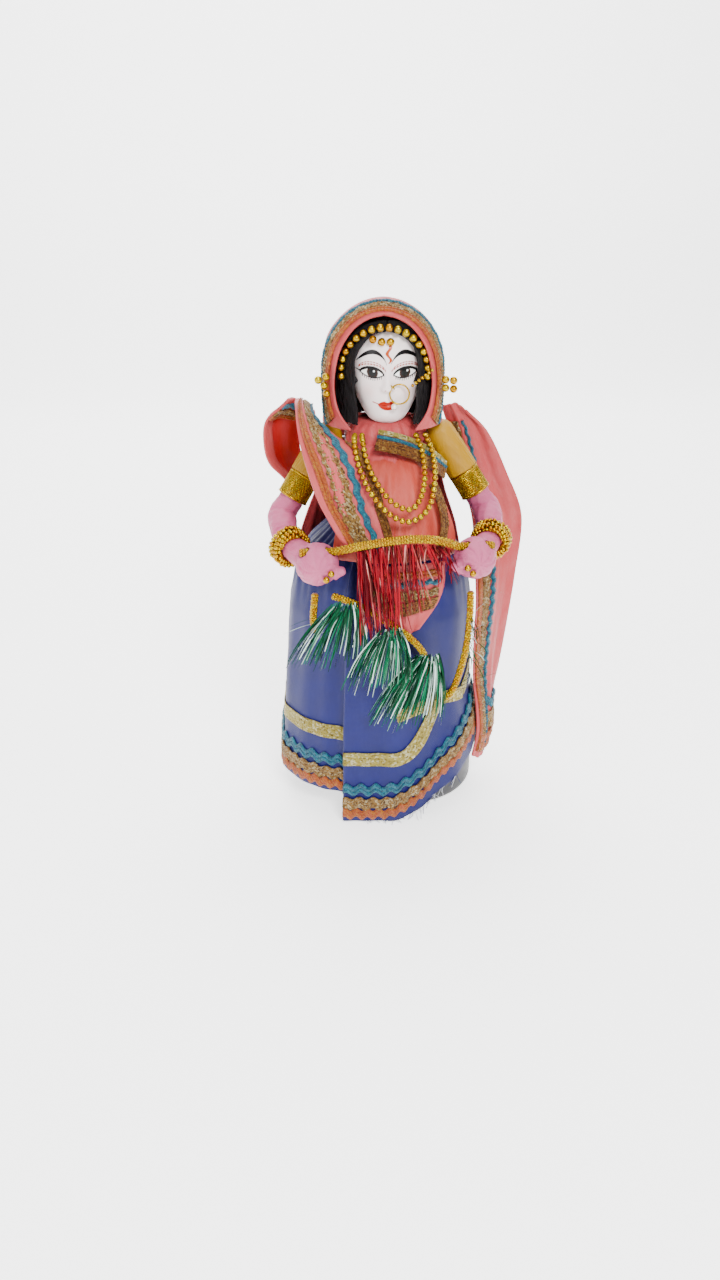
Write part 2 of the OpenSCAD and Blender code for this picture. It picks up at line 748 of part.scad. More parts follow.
module garland_rope() {
    color([0.93, 0.6, 0.1]) on_figure() cord(rope_route, rope_r, 48);
}

module garland_loop() {
    color([0.93, 0.6, 0.1]) on_figure() cord(loop_route, rope_r * 0.85, 60);
}

module garland_tail() {
    color([0.93, 0.6, 0.1]) on_figure() cord(tail_route, rope_r * 0.85, 8);
}

module red_tinsel() {
    fall = function(u, v, rise)
        let (x = mix(-18, 21, u), top = 138.4 - 0.0095 * pow(x - 3, 2), low = 98 + 22 * pow(u, 1.6))
        [x + 2 * (1 - v), -50.8 - 0.6 * (1 - v) - rise, mix(low, top, v)];
    color([0.78, 0.1, 0.2]) on_figure()
        between(12, 6, function(u, v) fall(u, v, 0.8), function(u, v) fall(u, v, -0.2));
}

// Three bunches of tinsel tied to the hanging loop
module green_tinsel() {
    bunch = function(top, low, spread, u, v, rise)
        let (c = mix(low, top, v), w = mix(spread, 3, v) * (u - 0.5))
        [c[0] + w, c[1] - rise, c[2] + 0.15 * abs(w)];
    color([0, 0.42, 0.24]) on_figure() for (b = [
        [[-21, -50.4, 112], [-28, -51.5, 88], 18], [[-5, -52.8, 100.5], [-9, -53.4, 79], 16],
        [[11.5, -50.6, 84], [2, -52.2, 58], 22]])
        between(6, 4, function(u, v) bunch(b[0], b[1], b[2], u, v, 1), function(u, v) bunch(b[0], b[1], b[2], u, v, 0));
}

base_cup();
ballast_plug();
core_dowel();
skirt_stuffing();
torso_form();
shoulder_wire();
choli_bodice();
skirt();
skirt_gold_ribbon();
skirt_teal_braid();
skirt_zari_braid();
skirt_orange_braid();
neck_wrap();
shoulder_loop();
shoulder_band();
band_orange_cord();
band_zari_braid();
band_teal_cord();
belly_wrap();
belly_gold_trim();
drape_tail();
tail_braid();
side_fall();
side_braid();
back_veil();
bead_necklaces();
necklace_threads();
doll_head();
hair_wig();
hood();
hood_orange_cord();
hood_zari_braid();
hood_teal_cord();
bead_headband();
nath_chain();
nose_ring();
nose_pearl();
left_earring();
right_earring();
arm_core(1);  // left_arm_core
arm_core(-1);  // right_arm_core
sleeve(1);  // left_sleeve
sleeve(-1);  // right_sleeve
cuff(1);  // left_cuff
cuff(-1);  // right_cuff
elbow_wire(1);  // left_elbow_wire
elbow_wire(-1);  // right_elbow_wire
forearm(1);  // left_forearm
forearm(-1);  // right_forearm
hand(1);  // left_hand
hand(-1);  // right_hand
bangles(1);  // left_bangles
bangles(-1);  // right_bangles
finger_ring(1);  // left_finger_ring
finger_ring(-1);  // right_finger_ring
garland_rope();
garland_loop();
garland_tail();
red_tinsel();
green_tinsel();
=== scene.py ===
"""Looks of the dressed bride doll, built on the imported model's frame. Lengths in the helpers are millimetres."""

import json
import math
import random

import bmesh
import bpy
import numpy as np
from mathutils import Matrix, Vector, noise

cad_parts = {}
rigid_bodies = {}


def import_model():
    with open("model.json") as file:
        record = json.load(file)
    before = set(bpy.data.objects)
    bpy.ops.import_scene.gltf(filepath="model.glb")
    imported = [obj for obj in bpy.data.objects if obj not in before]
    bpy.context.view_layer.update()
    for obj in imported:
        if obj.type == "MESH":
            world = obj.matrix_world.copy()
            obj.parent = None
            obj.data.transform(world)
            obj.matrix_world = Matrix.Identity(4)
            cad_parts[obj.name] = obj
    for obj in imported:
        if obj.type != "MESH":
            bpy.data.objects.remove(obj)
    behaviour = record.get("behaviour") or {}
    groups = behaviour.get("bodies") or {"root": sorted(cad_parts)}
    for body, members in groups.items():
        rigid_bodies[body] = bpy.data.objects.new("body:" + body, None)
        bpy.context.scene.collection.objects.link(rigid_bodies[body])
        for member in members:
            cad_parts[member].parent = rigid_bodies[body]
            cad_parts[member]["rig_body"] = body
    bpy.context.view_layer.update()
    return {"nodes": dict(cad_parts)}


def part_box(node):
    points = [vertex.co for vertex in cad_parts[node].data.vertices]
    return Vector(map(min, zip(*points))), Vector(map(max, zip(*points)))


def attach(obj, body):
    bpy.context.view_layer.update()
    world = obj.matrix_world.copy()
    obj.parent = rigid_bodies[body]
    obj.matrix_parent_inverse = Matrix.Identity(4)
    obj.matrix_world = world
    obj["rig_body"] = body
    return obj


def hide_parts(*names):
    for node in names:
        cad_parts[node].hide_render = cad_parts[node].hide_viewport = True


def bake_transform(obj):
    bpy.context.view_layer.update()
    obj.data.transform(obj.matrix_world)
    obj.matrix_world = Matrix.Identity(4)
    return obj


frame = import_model()

MM = 0.001
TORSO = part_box("torso_form")
AXIS_X = (TORSO[0].x + TORSO[1].x) / 2 / MM
HEAD_YAW = math.radians(-7)
rng = random.Random(7)


# ---- Camera and cords' routes ----

def add_camera():
    data = bpy.data.cameras.new("camera")
    data.lens = 27.2
    data.sensor_width = 36
    data.clip_start = 0.01
    data.clip_end = 20
    camera = bpy.data.objects.new("camera", data)
    camera.location = (-0.074, -0.418, 0.266)
    camera.rotation_euler = (math.radians(65.5), 0, math.radians(-7))
    bpy.context.scene.collection.objects.link(camera)
    bpy.context.scene.camera = camera


ROPE = [(-41, -42, 134), (-34, -42, 134), (-27, -42, 134), (-24.5, -43, 134.6), (-20.5, -46.6, 136.6),
        (-15, -49.4, 138.6), (-5, -50.8, 140.4), (4, -51, 141), (13, -50.6, 140.3), (20.5, -46.8, 137.3),
        (24.5, -43.1, 134.8), (27, -42, 134), (34, -42, 134), (41, -42, 134)]
LOOP = [(-28, -46, 116), (-22, -48.3, 114.5), (-15, -48.8, 111), (-6, -49, 105), (3, -49, 98),
        (10, -48.8, 90), (13.5, -48.8, 80), (14.5, -48.8, 72), (17, -48.6, 67), (21, -48.4, 66.2),
        (24.5, -48, 70), (27.5, -47.5, 79), (30, -46.6, 90), (31, -46, 103), (31, -45.5, 115)]
TAIL = [(-35, -45, 117), (-35.5, -45.5, 112), (-36, -45.5, 106), (-35.5, -45.5, 100)]


# ---- Curves and points ----

def catmull(points, t):
    """Smooth curve through the points, or through rows of points, at shares t."""
    p = np.asarray(points, float)
    n = len(p) - 1
    q = np.concatenate([[2 * p[0] - p[1]], p, [2 * p[-1] - p[-2]]])
    x = np.clip(np.asarray(t, float) * n, 0, n)
    i = np.minimum(x.astype(int), n - 1)
    f = (x - i).reshape((-1,) + (1,) * (p.ndim - 1))
    a, b, c, d = q[i], q[i + 1], q[i + 2], q[i + 3]
    return 0.5 * (2 * b + (c - a) * f + (2 * a - 5 * b + 4 * c - d) * f ** 2 + (3 * b - a - 3 * c + d) * f ** 3)


def lengths(p):
    steps = np.linalg.norm(np.diff(p, axis=0), axis=1)
    return np.concatenate([[0], np.cumsum(steps)])


def even(points, count):
    """The smooth curve through the points, at evenly spaced stations."""
    fine = catmull(points, np.linspace(0, 1, 600))
    s = lengths(fine)
    at = np.linspace(0, s[-1], count)
    return np.stack([np.interp(at, s, fine[:, k]) for k in range(3)], 1)


def look(x, pairs):
    return np.interp(x, [p[0] for p in pairs], [p[1] for p in pairs])


def soft_look(x, pairs, reach):
    """The same, with its corners rounded."""
    return sum(look(np.asarray(x) + reach * k, pairs) for k in (-1, -0.6, -0.2, 0.2, 0.6, 1)) / 6


def smooth(x):
    x = np.clip(x, 0, 1)
    return x * x * (3 - 2 * x)


def unit(v):
    return v / np.maximum(np.linalg.norm(v, axis=-1, keepdims=True), 1e-9)


def placed(p, on_head=False):
    """Figure millimetres to the row frame's metres."""
    p = np.array(p, float)
    if on_head:
        c, s = math.cos(HEAD_YAW), math.sin(HEAD_YAW)
        x, y = p[..., 0].copy(), p[..., 1].copy()
        p[..., 0], p[..., 1] = c * x - s * y, s * x + c * y
    p[..., 0] += AXIS_X
    return p * MM


# ---- Meshes ----

class Batch:
    """Collects parts of one piece. Each part has points, faces and a flat map in millimetres."""

    def __init__(self):
        self.points, self.faces, self.flats, self.mats, self.count = [], [], [], [], 0

    def add(self, points, faces, flat, mat=0):
        self.points.append(np.asarray(points, float))
        self.faces.extend((np.asarray(faces) + self.count).tolist())
        self.flats.append(np.asarray(flat, float).reshape(-1, 2))
        self.mats.extend([mat] * len(faces))
        self.count += len(points)

    def shell(self, outer, inner, ring=False, mat=0):
        """Closed skin between two grids of points, each of rows by columns."""
        rows, cols = outer.shape[:2]
        n = rows * cols
        spans = cols if ring else cols - 1
        j, i = [k.ravel() for k in np.meshgrid(np.arange(rows - 1), np.arange(spans), indexing="ij")]
        nxt = (i + 1) % cols
        a, b, c, d = j * cols + i, j * cols + nxt, (j + 1) * cols + nxt, (j + 1) * cols + i
        wide = np.linalg.norm(np.diff(np.concatenate([outer, outer[:, :1]], 1), axis=1), axis=2).mean(0)
        tall = np.linalg.norm(np.diff(outer, axis=0), axis=2).mean(1)
        u, v = np.concatenate([[0], np.cumsum(wide)]), np.concatenate([[0], np.cumsum(tall)])
        front = np.stack([a, b, c, d], 1)
        corner = np.stack([u[i], v[j], u[i + 1], v[j], u[i + 1], v[j + 1], u[i], v[j + 1]], 1)
        back = np.stack([n + a, n + d, n + c, n + b], 1)
        turned = corner[:, [0, 1, 6, 7, 4, 5, 2, 3]]
        faces, flats = [front, back], [corner, turned]
        low, high = j == 0, j == rows - 2
        faces += [np.stack([a, n + a, n + b, b], 1)[low], np.stack([d, c, n + c, n + d], 1)[high]]
        flats += [corner[low], corner[high]]
        if not ring:
            first, last = i == 0, i == spans - 1
            faces += [np.stack([a, d, n + d, n + a], 1)[first], np.stack([b, n + b, n + c, c], 1)[last]]
            flats += [corner[first], corner[last]]
        points = np.concatenate([outer.reshape(-1, 3), inner.reshape(-1, 3)])
        self.add(points, np.concatenate(faces), np.concatenate(flats), mat)

    def cloth(self, grid, thick=0.5, ring=False, mat=0):
        half = normals(grid, ring) * thick / 2
        self.shell(grid + half, grid - half, ring, mat)

    def tube(self, path, radius, sides=8, mat=0, relief=None):
        """Round bar along a path. radius may vary along it, and relief(angle, length) adds to it."""
        path = np.asarray(path, float)
        k = len(path)
        s = lengths(path)
        ahead = unit(np.gradient(path, axis=0))
        side = np.zeros((k, 3))
        start = np.cross(ahead[0], (0, 0, 1) if abs(ahead[0][2]) < 0.9 else (1, 0, 0))
        side[0] = unit(start)
        for m in range(1, k):
            side[m] = unit(side[m - 1] - ahead[m] * (side[m - 1] @ ahead[m]))
        up = np.cross(ahead, side)
        ang = np.linspace(0, 2 * math.pi, sides, endpoint=False)
        r = np.broadcast_to(np.asarray(radius, float), (k,))[:, None] * np.ones((1, sides))
        if relief is not None:
            r = r + relief(ang[None, :], s[:, None])
        ring = (side[:, None] * np.cos(ang)[None, :, None] + up[:, None] * np.sin(ang)[None, :, None])
        body = path[:, None] + ring * r[..., None]
        points = np.concatenate([body.reshape(-1, 3), path[:1], path[-1:]])
        j, i = [x.ravel() for x in np.meshgrid(np.arange(k - 1), np.arange(sides), indexing="ij")]
        nxt = (i + 1) % sides
        quads = np.stack([j * sides + i, j * sides + nxt, (j + 1) * sides + nxt, (j + 1) * sides + i], 1)
        v = np.arange(sides + 1) * (2 * math.pi * float(np.mean(r)) / sides)
        flat = np.stack([s[j], v[i], s[j], v[i + 1], s[j + 1], v[i + 1], s[j + 1], v[i]], 1)
        self.add(points, quads, flat, mat)
        ends = [[k * sides, (m + 1) % sides, m, m] for m in range(sides)]
        tip = (k - 1) * sides
        ends += [[k * sides + 1, tip + m, tip + (m + 1) % sides, tip + (m + 1) % sides] for m in range(sides)]
        self.faces.extend([[x + self.count - len(points) for x in e[:3]] for e in ends])
        self.flats.append(np.zeros((3 * len(ends), 2)))
        self.mats.extend([mat] * len(ends))

    def ball(self, centre, radius, mat=0):
        self.add(np.asarray(centre) + BALL[0] * radius, BALL[1], np.zeros((len(BALL[1]) * 3, 2)), mat)

    def strip(self, path, wide, mat=0):
        """Flat foil along a path, wide holding half its width as a vector at each point."""
        k = len(path)
        points = np.concatenate([path - wide, path + wide])
        m = np.arange(k - 1)
        faces = np.stack([m, m + 1, k + m + 1, k + m], 1)
        s = lengths(path)
        flat = np.stack([s[m], 0 * m, s[m + 1], 0 * m, s[m + 1], 0 * m + 1, s[m], 0 * m + 1], 1)
        self.add(points, faces, flat, mat)

    def build(self, name, materials, body, on_head=False, closed=True):
        mesh = bpy.data.meshes.new(name)
        mesh.from_pydata(placed(np.concatenate(self.points), on_head).tolist(), [], self.faces)
        flat = mesh.uv_layers.new(name="cloth")
        flat.data.foreach_set("uv", np.concatenate(self.flats).ravel())
        for m in materials:
            mesh.materials.append(m)
        mesh.polygons.foreach_set("material_index", self.mats)
        mesh.polygons.foreach_set("use_smooth", [True] * len(mesh.polygons))
        if closed:
            facing_out(mesh)
        obj = bpy.data.objects.new(name, mesh)
        bpy.context.scene.collection.objects.link(obj)
        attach(obj, body)
        return obj


def unit_ball():
    bm = bmesh.new()
    bmesh.ops.create_icosphere(bm, subdivisions=2, radius=1)
    points = np.array([v.co for v in bm.verts])
    faces = np.array([[v.index for v in f.verts] for f in bm.faces])
    bm.free()
    return points, faces


BALL = unit_ball()


def facing_out(mesh):
    bm = bmesh.new()
    bm.from_mesh(mesh)
    bmesh.ops.recalc_face_normals(bm, faces=bm.faces)
    bm.to_mesh(mesh)
    bm.free()


def normals(grid, ring=False):
    if ring:
        wide = np.roll(grid, -1, 1) - np.roll(grid, 1, 1)
    else:
        wide = np.gradient(grid, axis=1)
    return unit(np.cross(wide, np.gradient(grid, axis=0)))


def patch(rows, nu, nv, folds=None):
    """Cloth patch through rows of points. folds(u, v) moves it along its normal."""
    table = np.array(rows, float)
    across = catmull(table.transpose(1, 0, 2), np.linspace(0, 1, nu)).transpose(1, 0, 2)
    grid = catmull(across, np.linspace(0, 1, nv))
    if folds is not None:
        u, v = np.meshgrid(np.linspace(0, 1, nu), np.linspace(0, 1, nv))
        grid = grid + normals(grid) * folds(u, v)[..., None]
    return grid


def column(grid, share):
    """The line down a patch at a share of its width."""
    x = share * (grid.shape[1] - 1)
    i = min(int(x), grid.shape[1] - 2)
    return grid[:, i] * (1 - x + i) + grid[:, i + 1] * (x - i)


def finer(line, step):
    s = lengths(line)
    at = np.linspace(0, s[-1], max(4, int(s[-1] / step)))
    return np.stack([np.interp(at, s, line[:, k]) for k in range(line.shape[1])], 1)


def trim(batch, low, high, out, relief, swing=0.0, period=5.0, across=11, base=0.25, mat=0, lift=0.3):
    """Braid between two edge lines. relief(share, length) is its height, swing how far its edges wave."""
    line = np.concatenate([low, high, out], 1)
    line = finer(line, 0.42)
    low, high, out = line[:, :3], line[:, 3:6], unit(line[:, 6:9])
    s = lengths((low + high) / 2)
    share = np.linspace(0, 1, across)[:, None]
    wave = swing * np.sin(2 * math.pi * s / period)[None, :]
    at = share * (1 - 2 * swing) + swing + wave
    flat = low[None] + (high - low)[None] * at[..., None]
    top = flat + out[None] * (lift + base + relief(share, s[None, :]))[..., None]
    under = flat + out[None] * lift
    batch.shell(top, under, mat=mat)


def rickrack(share, s):
    return 0.55 * (1 - (2 * share - 1) ** 2) ** 0.6 + 0.16 * np.sin(2 * math.pi * (s / 1.1 + share * 2))


def crinkle(share, s):
    ripple = np.abs(np.sin(math.pi * (s / 1.5 + 0.4 * np.sin(share * 9))))
    return 0.25 + 0.55 * ripple * (0.6 + 0.4 * np.sin(5 * share + s * 0.9)) + 0.15 * np.cos(share * 31)


def twin_cord(share, s):
    return 0.75 * np.abs(np.sin(2 * math.pi * share)) ** 0.6 + 0.14 * np.sin(2 * math.pi * (s / 1.3 + 2 * share))


def one_cord(share, s):
    return 0.85 * np.sin(math.pi * share) ** 0.6 + 0.16 * np.sin(2 * math.pi * (s / 1.4 + 1.5 * share))


def ribbed(share, s):
    return 0.1 + 0.07 * np.sin(2 * math.pi * s / 1.2) + 0.12 * (np.abs(2 * share - 1) > 0.82)


# ---- Materials ----

def lin(r, g, b):
    """Screen colour to linear light. The more vivid a dye is, the purer and darker it is laid, for bright lamps."""
    c = [x / 255 / 12.92 if x <= 10 else ((x / 255 + 0.055) / 1.055) ** 2.4 for x in (r, g, b)]
    vivid = (max(c) - min(c)) / max(c)
    return tuple((x - 0.85 * vivid * min(c)) * (1 - 0.58 * vivid) for x in c) + (1,)


class Look:
    """A material with a Principled shader and the helpers that its procedural parts need."""

    def __init__(self, name, **values):
        self.material = bpy.data.materials.new(name)
        self.material.use_nodes = True
        self.tree = self.material.node_tree
        self.shader = self.tree.nodes["Principled BSDF"]
        for key, value in values.items():
            self.shader.inputs[key.replace("_", " ")].default_value = value

    def node(self, kind, inputs=(), **settings):
        made = self.tree.nodes.new("ShaderNode" + kind)
        for key, value in settings.items():
            setattr(made, key, value)
        for key, value in dict(inputs).items():
            if isinstance(value, bpy.types.NodeSocket):
                self.tree.links.new(value, made.inputs[key])
            else:
                made.inputs[key].default_value = value
        return made

    def into(self, socket, key):
        self.tree.links.new(socket, self.shader.inputs[key])

    def flat(self, scale=(1, 1, 1), turn=0.0):
        """Map coordinates in millimetres."""
        uv = self.node("UVMap", uv_map="cloth")
        move = self.node("Mapping", {"Vector": uv.outputs["UV"], "Scale": scale, "Rotation": (0, 0, turn)})
        return move.outputs["Vector"]

    def solid(self, scale=(1, 1, 1)):
        """Object coordinates in millimetres."""
        spot = self.node("TexCoord").outputs["Object"]
        scale = tuple(x / MM for x in scale)
        return self.node("Mapping", {"Vector": spot, "Scale": scale}).outputs["Vector"]

    def noise(self, where, scale, detail=3.0, rough=0.55):
        made = self.node("TexNoise", {"Vector": where, "Scale": scale, "Detail": detail, "Roughness": rough})
        return made.outputs["Fac"]

    def wave(self, where, scale, direction="X", distortion=0.0):
        made = self.node("TexWave", {"Vector": where, "Scale": scale, "Distortion": distortion},
                         bands_direction=direction)
        return made.outputs["Fac"]

    def blend(self, share, a, b, kind="MIX"):
        made = self.node("Mix", data_type="RGBA", blend_type=kind)
        for key, value in ((0, share), (6, a), (7, b)):
            if isinstance(value, bpy.types.NodeSocket):
                self.tree.links.new(value, made.inputs[key])
            else:
                made.inputs[key].default_value = value
        return made.outputs[2]

    def ramp(self, share, stops):
        made = self.node("ValToRGB", {"Fac": share})
        made.color_ramp.elements[0].position, made.color_ramp.elements[0].color = stops[0]
        made.color_ramp.elements[1].position, made.color_ramp.elements[1].color = stops[-1]
        for where, colour in stops[1:-1]:
            made.color_ramp.elements.new(where).color = colour
        return made.outputs["Color"]

    def math(self, kind, a, b):
        made = self.node("Math", operation=kind)
        for key, value in ((0, a), (1, b)):
            if isinstance(value, bpy.types.NodeSocket):
                self.tree.links.new(value, made.inputs[key])
            else:
                made.inputs[key].default_value = value
        return made.outputs[0]

    def bump(self, height, strength, distance=0.3):
        made = self.node("Bump", {"Height": height, "Strength": strength, "Distance": distance * MM})
        self.into(made.outputs["Normal"], "Normal")


def woven(name, colour, dark, light, thread=0.45, crinkle_at=0.35, crinkle_by=0.5, sheen=0.08, rough=0.42, sheer=0.0):
    """Satin or chiffon: two thread directions, soft crinkles with a painted sheen highlight laid lighter on their
    crests, and uneven dye.
    """
    m = Look(name, Roughness=rough, Sheen_Weight=sheen, Sheen_Roughness=0.35, Sheen_Tint=light)
    m.shader.inputs["Specular IOR Level"].default_value = 0.3
    if sheer:
        m.shader.inputs["Subsurface Weight"].default_value = sheer
        m.shader.inputs["Subsurface Radius"].default_value = (0.003, 0.0015, 0.0012)
    flat = m.flat()
    warp = m.wave(flat, 0.32 / thread, "X", 0.6)
    weft = m.wave(flat, 0.32 / thread, "Y", 0.6)
    threads = m.math("MULTIPLY", warp, weft)
    folds = m.noise(m.flat((1, 0.35, 1)), crinkle_at, 4.0)
    dye = m.noise(m.flat(), 0.09, 2.0)
    tint = m.blend(m.math("MULTIPLY", dye, 0.55), colour, dark)
    tint = m.blend(m.math("MULTIPLY", threads, 0.18), tint, light)
    # painted highlight: crinkle crests are mixed towards the light colour to stand in for sheen on the folds
    tint = m.blend(m.math("MULTIPLY", m.math("POWER", folds, 4.0), 0.45), tint, light)
    m.into(tint, "Base Color")
    height = m.math("ADD", m.math("MULTIPLY", threads, 0.12), m.math("MULTIPLY", folds, crinkle_by))
    m.bump(height, 0.75, 0.8)
    return m.material


def metal_braid(name, colour, light, dark, cell=0.9, metal=0.55):
    """Braid of metallic and plain threads, with specks of light and dark loops."""
    m = Look(name, Roughness=0.36, Metallic=metal, Sheen_Weight=0.04)
    cells = m.node("TexVoronoi", {"Vector": m.flat((1, 1.5, 1)), "Scale": 1 / cell})
    speck = m.ramp(cells.outputs["Color"], [(0.15, dark), (0.38, colour), (0.62, colour), (0.85, light)])
    wear = m.blend(m.math("MULTIPLY", m.noise(m.flat(), 0.5), 0.5), speck, dark)
    m.into(wear, "Base Color")
    loops = m.math("SUBTRACT", 1.0, cells.outputs["Distance"])
    fine = m.wave(m.flat(turn=0.7), 1.1, "X", 1.0)
    m.bump(m.math("ADD", loops, m.math("MULTIPLY", fine, 0.4)), 0.8, 0.5)
    return m.material


def twisted(name, colour, light, dark, turn=0.8, pitch=1.4, metal=0.15, rough=0.42):
    """Wound thread: slanting strands with lighter crests and darker grooves, a painted highlight and painted shade that
    follow the strand relief.
    """
    m = Look(name, Roughness=rough, Metallic=metal, Sheen_Weight=0.04)
    strands = m.wave(m.flat(turn=turn), 0.32 / pitch * 2, "X", 0.5)
    # painted highlight and painted shade: the same wave that raises the strands runs the colour from dark in the
    # grooves to light on the crests
    tint = m.ramp(strands, [(0.05, dark), (0.45, colour), (0.95, light)])
    m.into(m.blend(m.math("MULTIPLY", m.noise(m.flat(), 0.7), 0.35), tint, dark), "Base Color")
    m.bump(m.math("ADD", strands, m.math("MULTIPLY", m.noise(m.flat(), 3.0), 0.3)), 0.8, 0.5)
    return m.material


def beads(name, colour, light, dark, rough=0.2, metal=1.0):
    """Plated beads, no two quite the same shade."""
    m = Look(name, Metallic=metal)
    each = m.node("NewGeometry").outputs["Random Per Island"]
    tint = m.ramp(each, [(0.0, dark), (0.5, colour), (1.0, light)])
    dull = m.noise(m.solid(), 0.5)
    m.into(m.blend(m.math("MULTIPLY", dull, 0.35), tint, dark), "Base Color")
    m.into(m.math("ADD", rough, m.math("MULTIPLY", m.noise(m.solid(), 1.3), 0.22)), "Roughness")
    m.bump(m.noise(m.solid(), 2.5), 0.25, 0.2)
    return m.material


def foil(name, stops, rough=0.22, metal=0.85):
    """Metallic film cut in strips: each strip is given its own shade at random, the darkest stops standing in as
    painted shade and the palest as painted glints.
    """
    m = Look(name, Metallic=metal)
    each = m.node("NewGeometry").outputs["Random Per Island"]
    # painted shade and painted glints: the random per-strip ramp runs from a dark shade of the foil to near white
    m.into(m.ramp(each, stops), "Base Color")
    m.into(m.math("ADD", rough, m.math("MULTIPLY", m.noise(m.solid(), 0.4), 0.2)), "Roughness")
    m.bump(m.noise(m.solid((1, 1, 0.3)), 0.8), 0.5, 0.4)
    return m.material


def rigid(name, colour, dark, rough, scale, stretch=(1, 1, 1), metal=0.0, depth=0.3, coat=0.0):
    """Plastic, plaster, wood, paper or wire: grain or mottle in colour, gloss and surface."""
    m = Look(name, Metallic=metal, Coat_Weight=coat)
    grain = m.noise(m.solid(stretch), scale, 5.0)
    m.into(m.blend(grain, colour, dark), "Base Color")
    m.into(m.math("ADD", rough - 0.1, m.math("MULTIPLY", m.noise(m.solid(), scale * 2), 0.25)), "Roughness")
    m.bump(grain, depth, 0.3)
    return m.material


def painted_face(name):
    """Gloss paint over a moulded head, with the brushwork, a painted highlight in each eye and painted shade at the
    nostrils held in the mesh's own colours.
    """
    m = Look(name, Coat_Weight=0.12, Coat_Roughness=0.12, Specular_IOR_Level=0.15)
    paint = m.node("Attribute", attribute_name="paint").outputs["Color"]
    mottle = m.noise(m.solid(), 0.12, 3.0)
    m.into(m.blend(m.math("MULTIPLY", mottle, 0.12), paint, lin(235, 190, 180), "MULTIPLY"), "Base Color")
    m.into(m.math("ADD", 0.27, m.math("MULTIPLY", m.noise(m.solid(), 0.6), 0.15)), "Roughness")
    m.shader.inputs["Subsurface Weight"].default_value = 0.08
    m.shader.inputs["Subsurface Radius"].default_value = (0.002, 0.001, 0.0008)
    m.bump(m.noise(m.solid(), 0.7), 0.12, 0.25)
    return m.material


def yarn(name):
    m = Look(name, Roughness=0.5, Specular_IOR_Level=0.25)
    fibres = m.wave(m.flat(turn=0.5), 0.7, "X", 1.5)
    m.into(m.blend(fibres, lin(8, 7, 9), lin(30, 26, 28)), "Base Color")
    m.bump(m.math("ADD", fibres, m.noise(m.flat(), 2.0)), 0.8, 0.4)
    return m.material


# The third colour given to each woven cloth tints its sheen and is also laid on its crinkle crests as a painted
# highlight.
PINK = woven("pink_chiffon", lin(240, 120, 122), lin(222, 88, 96), lin(255, 205, 198), 0.5, 0.3, 0.9, 0.08, 0.45, 0.06)
CORAL = woven("coral_lining", lin(240, 62, 66), lin(205, 38, 48), lin(255, 140, 130), 0.5, 0.3, 0.7, 0.08, 0.45, 0.05)
BELLY = woven("belly_chiffon", lin(245, 124, 112), lin(232, 86, 84), lin(255, 180, 165), 0.5, 0.22, 0.8, 0.08, 0.42, 0.06)
BLUE = woven("blue_satin", lin(8, 18, 128), lin(3, 4, 52), lin(22, 44, 165), 0.55, 0.1, 0.35, 0.0, 0.5)
YELLOW = woven("yellow_satin", lin(240, 182, 0), lin(215, 140, 0), lin(250, 205, 0), 0.5, 0.35, 0.7, 0.0, 0.36)
ARM = woven("arm_cloth", lin(240, 148, 178), lin(222, 112, 158), lin(255, 205, 215), 0.5, 0.3, 0.9, 0.06, 0.5, 0.05)
NET = woven("cuff_net", lin(190, 140, 22), lin(130, 88, 12), lin(245, 205, 90), 0.7, 0.4, 0.5, 0.05, 0.4)
GOLD = beads("gold_beads", lin(255, 205, 10), lin(255, 232, 70), lin(238, 160, 4))
PLATE = beads("gold_plate", lin(255, 208, 40), lin(255, 232, 110), lin(230, 160, 20), 0.16)
PEARL = beads("pearl", lin(244, 238, 226), lin(255, 250, 244), lin(226, 214, 200), 0.15, 0.25)
# The gold rope's light and dark colours are its painted highlight and painted shade.
ROPE_GOLD = twisted("gold_rope", lin(255, 188, 4), lin(255, 228, 60), lin(205, 116, 4), 0.9, 1.3, 0.55, 0.34)
ORANGE = metal_braid("orange_braid", lin(246, 116, 12), lin(255, 178, 60), lin(184, 66, 6), 0.8, 0.15)
TEAL = metal_braid("teal_braid", lin(0, 138, 168), lin(20, 185, 205), lin(0, 74, 110), 0.8, 0.1)
ZARI = metal_braid("zari_braid", lin(206, 164, 106), lin(252, 236, 198), lin(98, 60, 30), 0.8, 0.5)
BRONZE = metal_braid("bronze_braid", lin(182, 120, 58), lin(240, 190, 120), lin(96, 44, 18), 0.8, 0.5)
RIBBON = metal_braid("gold_ribbon", lin(222, 206, 128), lin(252, 246, 206), lin(150, 128, 60), 1.0, 0.6)
PAINT = painted_face("doll_paint")
HAIR = yarn("black_yarn")
# The threads' light and dark colours are their painted highlight and painted shade.
THREAD = twisted("bead_thread", lin(190, 140, 50), lin(225, 185, 100), lin(120, 80, 20), 0.8, 0.6)
WHITE_THREAD = twisted("white_thread", lin(235, 235, 240), lin(255, 255, 255), lin(180, 185, 205), 0.8, 0.6)
# Foil stops: the darkest is painted shade, the near-white last stop is a painted glint.
RED_FOIL = foil("red_foil", [(0, lin(90, 2, 16)), (0.45, lin(165, 10, 34)), (0.82, lin(205, 24, 44)), (1, lin(255, 200, 190))])
GREEN_FOIL = foil("green_foil", [(0, lin(0, 50, 30)), (0.5, lin(0, 105, 62)), (0.78, lin(20, 150, 100)), (1, lin(225, 240, 235))])
BLACK = rigid("black_plastic", lin(44, 44, 47), lin(30, 30, 33), 0.42, 0.15, depth=0.15)
PLASTER = rigid("plaster", lin(214, 208, 196), lin(186, 178, 164), 0.85, 0.2)
WOOD = rigid("dowel_wood", lin(206, 164, 112), lin(160, 116, 70), 0.6, 0.5, (1, 1, 0.08))
TORSO_WOOD = rigid("torso_wood", lin(220, 188, 140), lin(182, 142, 94), 0.6, 0.3, (1, 1, 0.1))
PAPER = rigid("paper_stuffing", lin(208, 196, 168), lin(168, 154, 124), 0.85, 0.12, (1, 1, 3))
